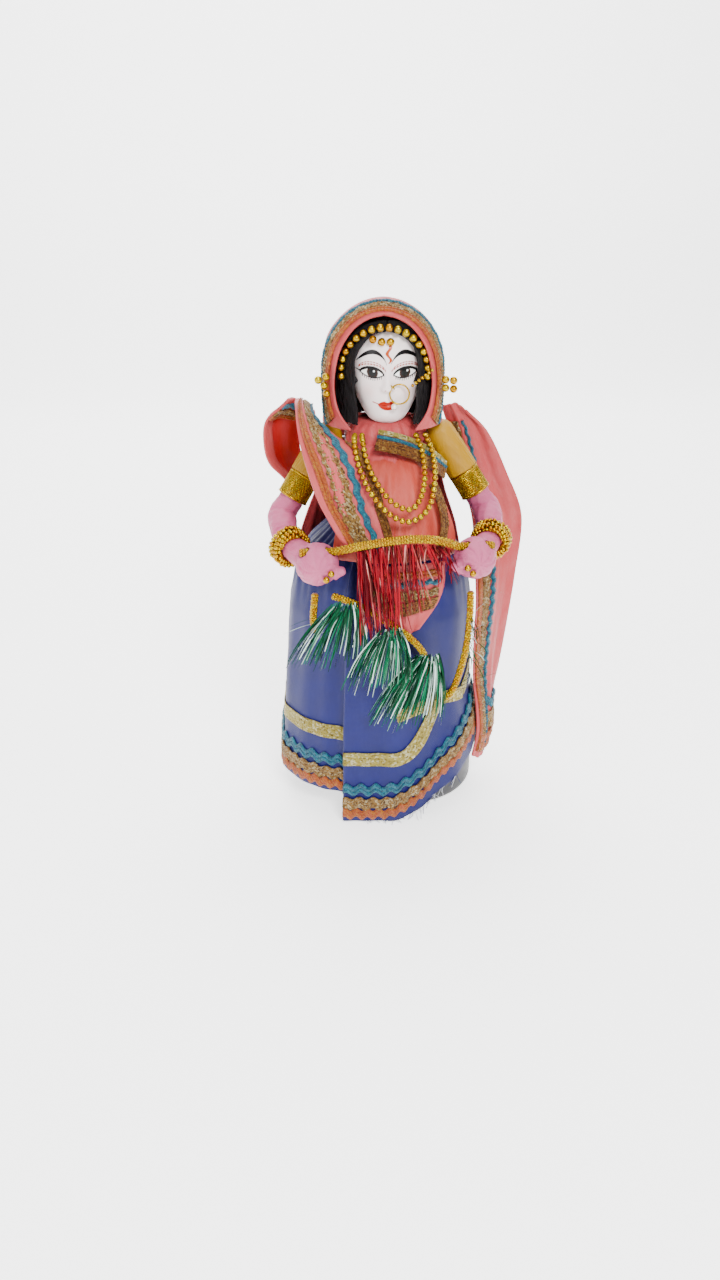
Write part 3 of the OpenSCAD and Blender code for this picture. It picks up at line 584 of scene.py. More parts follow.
STEEL = rigid("steel_wire", lin(178, 178, 182), lin(130, 130, 136), 0.32, 0.8, (1, 1, 1), 1.0, 0.1)


def dress(material, *nodes):
    """Gives CAD nodes that stay a procedural material."""
    for n in nodes:
        mesh = frame["nodes"][n].data
        mesh.materials.clear()
        mesh.materials.append(material)


# ---- Skirt ----

FOLD_A = 240
LAST_A = 608
HEM = [(240, 1.2), (272, 1.1), (288, 5.4), (300, 11), (310, 15), (320, 18.5), (340, 24), (360, 26), (420, 18),
       (480, 14.5), (540, 13.8), (603, 12.9), (615, 12.7)]
BRAID = [(240, 2.1), (264, 2), (278, 5.8), (290, 11.8), (303, 19.4), (316, 26), (335, 32), (360, 35),
         (420, 25), (480, 16.5), (540, 14.8), (607, 13.8), (615, 13.6)]


def skirt_r(a, z):
    """Radius of the skirt's cloth at unwrapped angle a, which runs from the overlapping edge round to the tucked one."""
    rad = np.radians(a)
    right = np.maximum(0, np.cos(rad - math.radians(5))) ** 2
    left = np.maximum(0, np.cos(rad - math.radians(190))) ** 1.5
    waist = look(z, [(0, 1.2), (40, 0.6), (73, 0), (98, -0.3), (112, -2.5), (120, -6), (126, -10.5),
                     (131, -16), (138, -23.5)])
    low = look(z, [(0, 1), (32, 1), (58, 0), (200, 0)])
    flare = look(z, [(0, 5.3), (30, 4.6), (100, 0.3), (140, 0)])
    held = look(z, [(0, 1), (100, 1), (120, 0.3), (131, 0)])
    lap = 1.0 * np.exp(-((a - FOLD_A) / 9) ** 2) - 1.8 * np.clip(1 - (a - FOLD_A) / 1.3, 0, 1) ** 2
    tuck = -4.4 * smooth((a - 574) / 24)
    waves = 0.7 * np.cos(9 * rad + math.radians(40)) + 0.28 * np.cos(21 * rad + 2 * np.sin(3 * rad))
    gathers = 0.55 * np.cos(46 * rad + 1.5 * np.sin(5 * rad)) * look(z, [(100, 0), (122, 0.6), (138, 1)])
    sag = 0.3 * np.sin(z / 9 + 3 * np.sin(2 * rad))
    return (43.5 + waist - 2.3 * right * (1 - low) + 3.4 * right * low + left * flare + (lap + tuck) * held
            + (waves + sag) * (1 - 0.6 * right) + gathers)


def on_skirt(a, z, rise=0.0):
    r = skirt_r(a, z) + rise
    rad = np.radians(a)
    return np.stack([r * np.cos(rad), r * np.sin(rad), z + 0 * rad], -1)


def outward(a):
    rad = np.radians(a)
    return np.stack([np.cos(rad), np.sin(rad), 0 * rad], -1)


def make_skirt():
    batch = Batch()
    a, v = np.meshgrid(np.linspace(FOLD_A, LAST_A, 520), np.linspace(0, 1, 84))
    z = soft_look(a, HEM, 2.5) * (1 - v) ** 1.2 + 138 * (1 - (1 - v) ** 1.2)
    batch.cloth(on_skirt(a, z, -0.3), 0.6)
    cloth = batch.build("skirt_cloth", [BLUE], "figure")
    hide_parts("skirt")

    a = np.linspace(FOLD_A + 0.6, LAST_A - 4, 800)
    low = soft_look(a, BRAID, 3)

    def band(name, near, far, material, relief, slot, node, **how):
        made = Batch()
        trim(made, on_skirt(a, low + near), on_skirt(a, low + far), outward(a), relief, **how)
        piece = made.build(name, [material], "figure")
        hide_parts(node)
        return piece

    trims = [
        band("hem_orange_rickrack", 0, 6.4, ORANGE, rickrack, "orange_braid", "skirt_orange_braid", swing=0.13, period=5.2),
        band("hem_zari_trim", 5.6, 12.4, ZARI, crinkle, "zari_braid", "skirt_zari_braid", swing=0.1, period=6.3, lift=0.45),
        band("hem_teal_rickrack", 12.6, 19.4, TEAL, twin_cord, "teal_braid", "skirt_teal_braid", swing=0.15, period=6.8),
    ]
    ribbon = Batch()
    turn = catmull([(240.6, 34.4), (254, 34), (265, 34), (272, 34.4), (278, 36.4), (284, 41.5), (290, 49), (296, 57), (301, 63)],
                   np.linspace(0, 1, 160))
    back = np.stack([np.linspace(322, LAST_A - 4, 500), np.zeros(500)], 1)
    back[:, 1] = soft_look(back[:, 0], BRAID, 5) + 30.5
    second = catmull([(270, 56.5), (280, 58.5), (292, 60.3), (305, 60.3), (320, 58.5)], np.linspace(0, 1, 120))
    for line, wide, lift in ((turn, 3.4, 0.35), (back, 3.4, 0.35), (second, 3.1, 1.0)):
        mid = on_skirt(line[:, 0], line[:, 1])
        ahead = unit(np.gradient(mid, axis=0))
        out = outward(line[:, 0])
        side = unit(np.cross(out, ahead)) * wide
        arc = np.degrees(np.sum(side * np.stack([-out[:, 1], out[:, 0], 0 * out[:, 0]], 1), 1) / 44)
        one = on_skirt(line[:, 0] - arc, line[:, 1] - side[:, 2])
        two = on_skirt(line[:, 0] + arc, line[:, 1] + side[:, 2])
        trim(ribbon, one, two, out, ribbed, across=13, base=0.15, lift=lift)
    gold = ribbon.build("skirt_ribbon", [RIBBON], "figure")
    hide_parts("skirt_gold_ribbon")

    threads = Batch()
    for k in range(46):
        at = rng.uniform(252, 316)
        start = on_skirt(np.array(at), np.array(soft_look(at, HEM, 2.5) + 0.5), 0.1)
        drop = rng.uniform(0.6, min(5.5, start[2] + 0.2))
        bend = np.array([rng.uniform(-2.2, 2.2), rng.uniform(-2.2, 0.6), 0])
        path = np.array([start, start + bend * 0.4 - (0, 0, drop * 0.5), start + bend - (0, 0, drop)])
        path[:, 2] = np.maximum(path[:, 2], 0.3)
        threads.tube(catmull(path, np.linspace(0, 1, 7)), 0.13, 5, mat=0 if k % 3 else 1)
    loose = threads.build("hem_threads", [WHITE_THREAD, BLUE], "figure")


# ---- Drapes ----

BAND_ROWS = [
    [(-21, -42.2, 135), (-12, -44.2, 133), (-1, -44.6, 132)],
    [(-26, -41, 142), (-15, -43, 140), (-2, -43.4, 139)],
    [(-32, -37, 153), (-20, -39, 151), (-5, -38.5, 149)],
    [(-36, -32, 165), (-23, -35, 163), (-8, -33, 161)],
    [(-39, -21, 178), (-29, -26, 177), (-14, -26, 171)],
    [(-39, -8, 187), (-34, -10, 185), (-29, -12, 179)],
    [(-38, 6, 187.5), (-33.5, 8, 185.5), (-29.5, 8, 182)],
]
LOOP_ROWS = [
    [(-43, 10, 150), (-38, 15, 150), (-33, 18, 152)],
    [(-50, 10.5, 158), (-43, 18, 158), (-35, 21, 159)],
    [(-53, 10.5, 169), (-45, 19, 169), (-36, 22, 168)],
    [(-50, 11.5, 179), (-43, 18, 178), (-34, 21, 176)],
    [(-41, 10, 187), (-36, 15, 185), (-31, 19, 181)],
]
TAIL_ROWS = [
    [(-1, -46, 97), (4, -46, 96.5), (9, -46, 99)],
    [(-8, -46.2, 108), (3, -46.4, 107), (17, -44.5, 110)],
    [(-14, -45.6, 119), (2, -46.6, 119), (20, -43.5, 119)],
    [(-17, -45, 128), (2, -46.6, 128), (20, -42.5, 128)],
]
SIDE_ROWS = [
    [(42, -20, 18), (48, -14, 14), (54, -4, 22)],
    [(43.5, -20.5, 31), (50, -14, 30), (56, -3, 33)],
    [(42.5, -20, 45), (49.5, -12, 45), (56.5, -1, 45)],
    [(40.5, -19, 60), (49, -9, 60), (59, 1.5, 60)],
    [(39.5, -19, 83), (50.5, -7, 83), (62, 4, 83)],
    [(40.5, -15, 102), (52.5, -2, 102), (65, 8, 103)],
    [(44, 12, 129), (54, 12, 129), (68, 12, 129)],
    [(37, 16, 150), (47, 13, 150), (60, 14, 150)],
    [(32, 17, 170), (40, 14, 171), (50, 14, 169)],
    [(28, 14, 181), (33, 12, 183), (39, 12, 180)],
]


def cloth_piece(name, grid, material, node, thick=0.55, body="figure", on_head=False, ring=False):
    batch = Batch()
    batch.cloth(grid, thick, ring)
    piece = batch.build(name, [material], body, on_head)
    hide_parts(node)
    return piece


def grid_trim(name, grid, shares, material, slot, relief, node=None, ends=(0, 1), sense=1, **how):
    """Braid sewn down a patch between two shares of its width."""
    first, last = int(ends[0] * (len(grid) - 1)), int(ends[1] * (len(grid) - 1)) + 1
    out = normals(grid)[first:last] * sense
    part = grid[first:last]
    batch = Batch()
    trim(batch, column(part, shares[0]), column(part, shares[1]), column(out, sum(shares) / 2), relief, **how)
    piece = batch.build(name, [material], "figure")
    if node:
        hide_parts(node)
    return piece


def cross_trim(name, grid, shares, material, slot, relief, node=None, ends=(0, 1), sense=1, **how):
    """Braid sewn across a patch between two shares of its length."""
    return grid_trim(name, grid.transpose(1, 0, 2), shares, material, slot, relief, node, ends, -sense, **how)


PUFF_SIDE = 1


def make_drapes():
    band = patch(BAND_ROWS, 40, 90, lambda u, v: 0.35 * np.sin(13 * u + 5 * v) + 0.25 * np.sin(27 * u - 8 * v))
    cloth = cloth_piece("shoulder_drape", band, PINK, "shoulder_band", 0.8)
    trims = [
        grid_trim("drape_orange_cord", band, (0.12, 0.27), ORANGE, "orange_braid", twin_cord, "band_orange_cord",
                  (0.02, 0.98), lift=0.55, across=15),
        grid_trim("drape_zari", band, (0.29, 0.6), ZARI, "zari_braid", crinkle, "band_zari_braid", (0.02, 0.98),
                  swing=0.05, lift=0.55, across=21),
        grid_trim("drape_teal_cord", band, (0.61, 0.75), TEAL, "teal_braid", one_cord, "band_teal_cord", (0.02, 0.98),
                  swing=0.12, period=7, lift=0.55),
        grid_trim("drape_gold_edge", band, (0.86, 0.99), BRONZE, "zari_braid", crinkle, None, (0.02, 0.7), lift=0.5),
    ]

    puff = patch(LOOP_ROWS, 30, 60, lambda u, v: 0.6 * np.sin(9 * u + 2 * v) + 0.4 * np.sin(16 * v))
    made = Batch()
    made.cloth(puff[:, 8:], 0.5)
    made.cloth(puff[:, :9], 0.9, mat=1)
    made.cloth(puff[46:, :], 1.3, mat=1)
    lining = made.build("shoulder_puff", [CORAL, PINK], "figure")
    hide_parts("shoulder_loop")
    top_trims = [
        cross_trim("puff_zari", puff, (0.8, 0.88), ZARI, "zari_braid", crinkle, None, (0.02, 0.98), lift=0.85, sense=PUFF_SIDE),
        cross_trim("puff_orange", puff, (0.73, 0.79), ORANGE, "orange_braid", twin_cord, None, (0.02, 0.98), lift=0.85,
                   sense=PUFF_SIDE),
        cross_trim("puff_teal", puff, (0.89, 0.96), TEAL, "teal_braid", one_cord, None, (0.02, 0.98), swing=0.1, lift=0.85,
                   sense=PUFF_SIDE),
    ]

    tail = patch(TAIL_ROWS, 44, 50, lambda u, v: 0.35 * np.sin(15 * u + 3 * v))
    hung = cloth_piece("drape_end", tail, PINK, "drape_tail", 0.7)
    tail_trims = [
        cross_trim("end_bronze_braid", tail, (0.3, 0.46), BRONZE, "zari_braid", crinkle, "tail_braid", (0.04, 0.96), lift=0.5),
        cross_trim("end_zari_braid", tail, (0.47, 0.62), ZARI, "zari_braid", crinkle, None, (0.05, 0.95), swing=0.1, lift=0.5),
        cross_trim("end_teal_cord", tail, (0.64, 0.76), TEAL, "teal_braid", one_cord, None, (0.05, 0.95), swing=0.15, lift=0.5),
        cross_trim("end_orange_cord", tail, (0.78, 0.9), ORANGE, "orange_braid", twin_cord, None, (0.05, 0.95), lift=0.5),
    ]

    side = patch(SIDE_ROWS, 44, 150, lambda u, v: 0.7 * np.sin(11 * u + 4 * v) * smooth(v * 6) + 0.3 * np.sin(25 * u - 9 * v))
    fall = cloth_piece("side_veil", side, PINK, "side_fall", 0.7)
    side_trims = [
        grid_trim("side_orange_cord", side, (0.06, 0.19), ORANGE, "orange_braid", twin_cord, "side_braid", (0.03, 0.92), lift=0.5),
        grid_trim("side_zari_braid", side, (0.2, 0.38), ZARI, "zari_braid", crinkle, None, (0.03, 0.92), swing=0.08, lift=0.5),
        grid_trim("side_teal_cord", side, (0.4, 0.51), TEAL, "teal_braid", one_cord, None, (0.03, 0.92), swing=0.15, lift=0.5),
        cross_trim("side_end_orange", side, (0.03, 0.1), ORANGE, "orange_braid", twin_cord, None, (0.1, 0.98), lift=0.9),
        cross_trim("side_end_zari", side, (0.11, 0.17), ZARI, "zari_braid", crinkle, None, (0.3, 0.98), lift=0.6),
        cross_trim("side_end_teal", side, (0.18, 0.23), TEAL, "teal_braid", one_cord, None, (0.5, 0.98), swing=0.15, lift=0.6),
    ]

    u, v = np.meshgrid(np.linspace(0, 1, 190), np.linspace(0, 1, 80))
    a, z = 28 + 118 * u, (66 + 8 * (2 * u - 1) ** 2) * (1 - v) + 177.5 * v
    r = look(z, [(66, 46.6), (98, 46.4), (112, 45), (124, 41.5), (140, 35), (158, 29.5), (170, 26.5), (177.5, 25)])
    r = r + 0.6 + 0.9 * np.cos(np.radians(12 * a)) + 0.35 * np.sin(u * 70 + 3 * np.sin(v * 5))
    rad = np.radians(a)
    veil = np.stack([r * np.cos(rad), r * np.sin(rad), z], -1)
    back = cloth_piece("back_veil_cloth", veil, PINK, "back_veil", 0.6)
    hem = cross_trim("back_veil_hem", veil, (0.01, 0.05), ZARI, "zari_braid", crinkle, None, (0.01, 0.99), lift=0.45)


def make_body_cloth():
    profile = catmull([(17.9, 165.4), (20.2, 166.3), (23.6, 164.6), (29, 159.6), (35.3, 150), (40.2, 140),
                       (42, 132), (41.8, 128), (39, 127.2)], np.linspace(0, 1, 70))
    u, v = np.meshgrid(np.linspace(0, 1, 150), np.linspace(0, 1, 70))
    r = np.repeat(profile[:, :1], 150, 1)
    z = np.repeat(profile[:, 1:], 150, 1)
    pulled = 0.45 * np.sin(17 * u + 7 * v) + 0.35 * np.sin(34 * u - 9 * v + 2) + 0.2 * np.sin(60 * u + 14 * v)
    edge = 1 - smooth(np.minimum(u, 1 - u) / 0.07)
    inner = look(z, [(126, 37.8), (131, 31.8), (136, 24.8), (140, 20.7), (142, 17.6), (167, 17.6)])
    r = (r + pulled * np.sin(math.pi * v)) * (1 - edge) + np.minimum(inner, r) * edge
    rad = np.radians(226 + 88 * u)
    wrap = np.stack([r * np.cos(rad), r * np.sin(rad), z], -1)
    piece = cloth_piece("belly_wrap_cloth", wrap, BELLY, "belly_wrap", 0.5)
    gold_rows = [[(16, -41.6, 133), (19.5, -40, 133)], [(18, -38.8, 142), (21.5, -36.6, 142)],
                 [(17, -35.5, 150), (20.5, -33.4, 150)], [(13.5, -32.5, 158), (17.5, -30.3, 158)]]
    edge_grid = patch([[r[0], ((np.array(r[0]) + r[1]) / 2).tolist(), r[1]] for r in gold_rows], 9, 50)
    gold = grid_trim("belly_gold_edge", edge_grid, (0, 1), BRONZE, "gold_ribbon", crinkle, "belly_gold_trim", lift=0.5)

    ring = np.linspace(0, 2 * math.pi, 160, endpoint=False)
    section = catmull([(8.7, 174.2), (12, 171.8), (15.6, 169.4), (17, 170.8), (16.6, 174.6), (14.6, 178), (11, 179.7),
                       (7.4, 179.7), (5.7, 178.4)],
                      np.linspace(0, 1, 40))
    rr = section[:, :1] + 0.3 * np.sin(23 * ring)[None] * np.sin(np.linspace(0, math.pi, 40))[:, None]
    neck = np.stack([rr * np.cos(ring), rr * np.sin(ring), np.repeat(section[:, 1:], 160, 1)], -1)
    cloth_piece("neck_cloth", neck, PINK, "neck_wrap", 0.4, ring=True)

    section = catmull([(15.3, 141.2), (15.4, 143), (16.2, 151), (16.3, 157), (16.1, 163), (14.2, 168.4), (13, 169.3)],
                      np.linspace(0, 1, 40))
    rr = section[:, :1] + 0.12 * np.sin(31 * ring)[None] * np.linspace(1, 0.2, 40)[:, None]
    blouse = np.stack([rr * np.cos(ring), rr * np.sin(ring), np.repeat(section[:, 1:], 160, 1)], -1)
    cloth_piece("blouse_cloth", blouse, YELLOW, "choli_bodice", 0.4, ring=True)

    section = catmull([(17.4, 171.2), (18.4, 168.6), (20.6, 166.8), (23.6, 163.8)], np.linspace(0, 1, 30))
    arc = np.radians(np.linspace(208, 332, 120))
    rr = section[:, :1] + (0.25 * np.sin(19 * arc) + 0.15 * np.sin(41 * arc))[None] * np.linspace(0.3, 1, 30)[:, None]
    yoke = np.stack([rr * np.cos(arc), rr * np.sin(arc), np.repeat(section[:, 1:], 120, 1)], -1)
    made = Batch()
    made.cloth(yoke, 0.4)
    front = made.build("chest_cloth", [PINK], "figure")

    chest = Batch()
    line = catmull([(-6, -19.6, 174.6), (3, -21.2, 172.8), (11, -21.8, 169.8), (18, -21, 165.4), (23.5, -19, 160.6)],
                   np.linspace(0, 1, 60))
    out = unit(line * (1, 1, 0) + (0, 0, 12))
    for near, far, mat, relief in ((-4.6, 0.2, 0, crinkle), (0.5, 2.1, 1, one_cord), (2.4, 4.4, 2, ribbed)):
        down = unit(np.cross(out, np.gradient(line, axis=0)))
        trim(chest, line + down * near, line + down * far, out, relief, mat=mat, lift=0.1)
    collar = chest.build("chest_trim", [BRONZE, TEAL, RIBBON], "figure")


# ---- Head ----

def brush(distance, half, soft=0.14):
    """Coverage of a brushed line or spot: 1 inside, 0 outside."""
    return np.clip((half - distance) / soft + 0.5, 0, 1)


def paint(x, z, front):
    """Colours of the face's brushwork at points seen from the front, with a painted highlight in each eye and painted
    shade at the nostrils.
    """
    colour = np.empty(x.shape + (3,))
    colour[:] = lin(252, 240, 238)[:3]

    def lay(cover, rgb):
        cover = (cover * front)[..., None]
        colour[:] = colour * (1 - cover) + np.array(lin(*rgb)[:3]) * cover

    for side in (-1, 1):
        lay(0.22 * np.exp(-((x - side * 8.2) / 3.4) ** 2 - ((z - 193.6) / 3) ** 2), (250, 150, 140))
        ex = (x - side * 6.9) * side
        rise = z - 200.9 - 0.1 * ex
        open_at = np.clip(1 - (ex / 4.9) ** 2, 0, 1)
        upper, lower = 2.3 * open_at ** 0.7, -1.75 * open_at ** 0.85
        inside = np.clip((upper - rise) / 0.15, 0, 1) * np.clip((rise - lower) / 0.15, 0, 1) * (np.abs(ex) < 4.9)
        lay(inside, (255, 253, 250))
        iris = np.hypot(ex + 0.2, rise - 0.3)
        lay(inside * brush(iris, 2.35), (60, 30, 18))
        lay(inside * brush(iris, 1.6), (1, 1, 1))
        # painted highlight: a white glint dot on each iris, offset the same way in both eyes
        lay(inside * brush(np.hypot(x - side * 6.9 - 0.8, rise - 1.0), 0.36), (255, 255, 255))
        near = (np.abs(ex) < 5.1)
        lay(brush(np.abs(rise - upper), 0.62) * near, (2, 1, 2))
        lay(brush(np.abs(rise - lower), 0.3) * near, (10, 8, 10))
        wing = np.abs(rise - 0.1 - 0.3 * (ex - 4.6))
        lay(brush(wing, 0.42 * np.clip((7.6 - ex) / 2.6, 0, 1)) * (ex > 4.5) * (ex < 7.6), (8, 6, 8))
        lash = (np.abs(((ex * 1.15) % 1) - 0.5) < 0.2) * (rise < lower) * (rise > lower - 1.15) * (np.abs(ex) < 4.6)
        lay(0.9 * lash, (20, 12, 14))
        dash = 0.45 + 0.55 * np.clip(4 * np.sin(ex * 5.2) + 1.5, 0, 1)
        for gap, half in ((0.0, 0.3), (0.95, 0.22)):
            crease = np.abs(rise - (3.3 + gap) * np.clip(1 - (ex / 6.2) ** 2, 0, 1) ** 0.55 - 0.3)
            lay(brush(crease, half) * dash * (np.abs(ex) < 5.7), (215, 52, 6))
        bx = np.clip((ex + 6.0) / 12.4, 0, 1)
        arch = 204.3 + 4.6 * np.sin(math.pi * bx ** 0.8) ** 0.8 + 1.1 * bx
        lay(brush(np.abs(z - arch), 0.12 + 0.8 * np.sin(math.pi * np.clip(bx, 0.03, 0.97)) ** 0.7)
            * (ex > -6.0) * (ex < 6.4), (8, 6, 8))
        # painted shade: pinkish dark spots under the nose tip where the nostrils fall in shadow
        lay(0.6 * brush(np.hypot(x - side * 1.35, (z - 194.1) * 1.4), 0.42, 0.3), (225, 120, 100))
    rise = (z - 205) / 9.2
    stroke = np.abs(x - 0.85 * np.sin(rise * 11.5) * (1 - 0.3 * rise))
    lay(brush(stroke, 0.3 + 0.42 * np.sin(math.pi * np.clip(rise, 0, 1)) ** 0.6) * (rise > 0) * (rise < 1), (232, 88, 0))
    mx = (x + 0.3) / 4.1
    bow = np.clip(1 - mx ** 2, 0, 1)
    top = 188.2 + 1.7 * bow ** 0.8 - 0.75 * np.exp(-((x + 0.3) / 0.9) ** 2)
    low = 188.0 - 2.4 * bow ** 0.75
    lay(np.clip((top - z) / 0.15, 0, 1) * np.clip((z - low) / 0.15, 0, 1) * (np.abs(mx) < 1), (240, 44, 10))
    lay(0.7 * brush(np.abs(z - 188.0 - 0.12 * np.cos(x * 1.6)), 0.16) * (np.abs(mx) < 0.95), (150, 12, 6))
    lay(brush(np.abs(z - 188.3 - 0.35 * (-x - 4)), 0.22) * (x < -3.8) * (x > -6.6), (238, 70, 24))
    return colour


FACE_X = 0.7


def make_head():
    turn = np.concatenate([np.linspace(-180, -88, 26)[:-1], np.linspace(-88, 88, 260), np.linspace(88, 180, 26)[1:-1]])
    phi, el = np.meshgrid(np.radians(turn), np.radians(np.linspace(-88, 88, 320)))
    tall = np.where(el < 0, 24.6, 19.2)
    low = np.clip(-np.sin(el), 0, 1)
    girth = np.cos(el) ** np.where(el < 0, 1 - 0.4 * smooth(low * 1.6), 1.0)
    jaw = 1 - 0.13 * smooth((low - 0.35) / 0.5)
    forward = 0.4 + 4.4 * low ** 4
    x0, z0 = 15.4 * girth * jaw * np.sin(phi), 204 + tall * np.sin(el)
    bulge = look(z0, [(192.6, 0), (193.8, 1.5), (195.6, 2.2), (198.5, 1.5), (203, 0.75), (207.5, 0)])
    bulge = bulge * np.exp(-(x0 / look(z0, [(194, 2.0), (197, 1.7), (204, 1.3)])) ** 2)

    def dab(x, z, wide, high, rise):
        return rise * np.exp(-((x0 - x) / wide) ** 2 - ((z0 - z) / high) ** 2)

    for side in (-1, 1):
        bulge = bulge + dab(side * 1.9, 194.7, 1.0, 0.9, 0.5) + dab(side * 7, 201.2, 4.9, 2.9, -0.85)
        bulge = bulge + dab(side * 7, 201.4, 3.2, 1.8, 0.65) + dab(side * 7.4, 193, 3.8, 3.4, 0.55)
        bulge = bulge + dab(side * 6.6, 206.4, 4.6, 1.2, 0.3) + dab(side * 1.3, 189.3, 1.6, 0.7, 0.4)
    bulge = bulge + dab(0, 187.2, 2.8, 0.9, 0.75) + dab(0, 188.4, 3.4, 0.3, -0.35) + dab(0, 183.2, 3.2, 1.8, 0.7)
    bulge = np.where(np.cos(phi) > 0, bulge, 0)
    r = 15.0 * girth + bulge
    grid = np.stack([x0 + FACE_X + bulge * np.sin(phi), -1.5 - forward * (np.cos(phi) > -2) - r * np.cos(phi), z0], -1)
    rows, cols = grid.shape[:2]
    batch = Batch()
    batch.shell(grid, (0, -0.3, 0) + grid * (0.8, 0.8, 1), ring=True)
    batch.tube([(0, 0, 174.6), (0, 0, 178), (0, 0, 182), (0, 0, 186)], [5, 4.9, 4.9, 4.9], 48)
    head = batch.build("painted_head", [PAINT], "head", on_head=True)
    front = smooth((-1.5 - grid[..., 1]) / 3)
    face = paint(grid[..., 0] - FACE_X - 0.5, grid[..., 2], front).reshape(-1, 3)
    skin = np.tile(lin(250, 236, 234)[:3], (len(head.data.vertices) - len(face), 1))
    values = np.concatenate([face, skin])
    values = np.concatenate([values, np.ones((len(values), 1))], 1)
    attribute = head.data.color_attributes.new("paint", "FLOAT_COLOR", "POINT")
    attribute.data.foreach_set("color", values.ravel())
    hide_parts("doll_head")


def make_hair():
    """Yarn parted at the crown, laid round the face and hanging beside it, over a close cap."""
    batch = Batch()
    theta, psi = np.meshgrid(np.radians(np.linspace(50, 178, 50)), np.radians(np.linspace(-125, 125, 120)))
    cap = np.stack([np.sin(theta) * np.sin(psi), -np.cos(theta), np.sin(theta) * np.cos(psi)], -1) * 18.3
    batch.cloth(cap + (0, 0, 205), 0.8)
    around, z = np.meshgrid(np.radians(np.linspace(-28, 208, 90)), np.linspace(178.9, 206, 30))
    r = 18.4 + 0.25 * np.sin(40 * around) + look(z, [(178, 1.2), (190, 0)])
    batch.cloth(np.stack([r * np.cos(around), r * np.sin(around), z], -1), 0.6)
    for side in (-1, 1):
        for layer, lanes in ((0, 15), (1, 14), (2, 13)):
            for k in range(lanes):
                lane = (k + 0.5 * (layer == 1)) / 14
                wide, top = 13.6 + 7.2 * lane, 217.6 + 3.4 * lane
                t = np.linspace(0.02, math.pi / 2, 22)
                x, z = wide * np.sin(t) ** 0.92, 201 + (top - 201) * np.cos(t) ** 0.92
                fall = np.linspace(0, 1, 14)[1:]
                x = np.concatenate([x, wide - 1.6 * fall ** 2])
                z = np.concatenate([z, 201 - (201 - 179.6 - rng.random()) * fall])
                r = 19.35 - 1.0 * layer + 1.2 * lane
                deep = 4.5 - 2.5 * layer
                y = -np.sqrt(np.maximum(r * r - x * x - np.maximum(z - 205, 0) ** 2, deep * deep))
                phase = rng.uniform(0, 6)
                x = side * x + 0.3 * np.sin(z * 0.5 + phase) + 0.35
                y = y + 0.25 * np.sin(z * 0.7 + phase)
                batch.tube(catmull(np.stack([x, y, z], 1), np.linspace(0, 1, 50)), 0.56, 6)
    hair = batch.build("yarn_hair", [HAIR], "head", on_head=True)
    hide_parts("hair_wig")


HOOD_R = 25.6
HOOD_MIDDLE = 203
HOOD_TALL = 26
OPENING = [(0.62, 0), (0.9, 0.16), (1, 0.34), (0.98, 0.52), (0.86, 0.72), (0.62, 0.88), (0.32, 0.97), (0, 1)]


def hood_radius(z):
    share = np.clip((z - HOOD_MIDDLE) / HOOD_TALL, 0, 1)
    return HOOD_R * np.sqrt(np.maximum(1 - share ** 2, 0.0))


def hood_edge(grow, count=300, low_z=178.8):
    """Line round the hood's opening, from -X over the top to +X, grown outwards, on the hood's surface."""
    half, top, low = 21 + grow, 223.5 + 0.5 * grow, 178 - grow
    right = [(half * p[0], 0, low + (top - low) * p[1]) for p in OPENING]
    whole = [(-p[0], p[1], p[2]) for p in right] + right[-2::-1]
    line = even(whole, count)
    line = line[line[:, 2] >= low_z]
    r = hood_radius(line[:, 2])
    y = -np.sqrt(np.maximum(r ** 2 - line[:, 0] ** 2, 0))
    return np.stack([line[:, 0] - 1, y, line[:, 2]], 1)


def hood_line(reach):
    """Line that lies a distance back from the opening's edge, measured over the cloth, and its outward normals."""
    line = hood_edge(0, 240, 184.5)
    centre = np.array([-1.0, 0, HOOD_MIDDLE])
    steps = int(reach / 0.25)
    for k in range(steps):
        out = hood_normal(line - centre)
        side = np.cross(unit(np.gradient(line, axis=0)), out)
        side = side * np.sign(side[:, 1:2] + 1e-6)
        line = line + unit(side) * reach / steps
        d = line - centre
        high = d[:, 2] > 0
        scale = np.where(high, np.sqrt((d[:, 0] ** 2 + d[:, 1] ** 2) / HOOD_R ** 2 + (d[:, 2] / HOOD_TALL) ** 2),
                         np.hypot(d[:, 0], d[:, 1]) / HOOD_R)[:, None]
        d = np.where(high[:, None], d / scale, d / np.where(np.arange(3) < 2, scale, 1))
        d[:, 2] = np.maximum(d[:, 2], 178.7 - HOOD_MIDDLE)
        line = centre + d
    return line, hood_normal(line - centre)


def hood_normal(d):
    return unit(np.stack([d[:, 0] / HOOD_R ** 2, d[:, 1] / HOOD_R ** 2, np.maximum(d[:, 2], 0) / HOOD_TALL ** 2], 1))


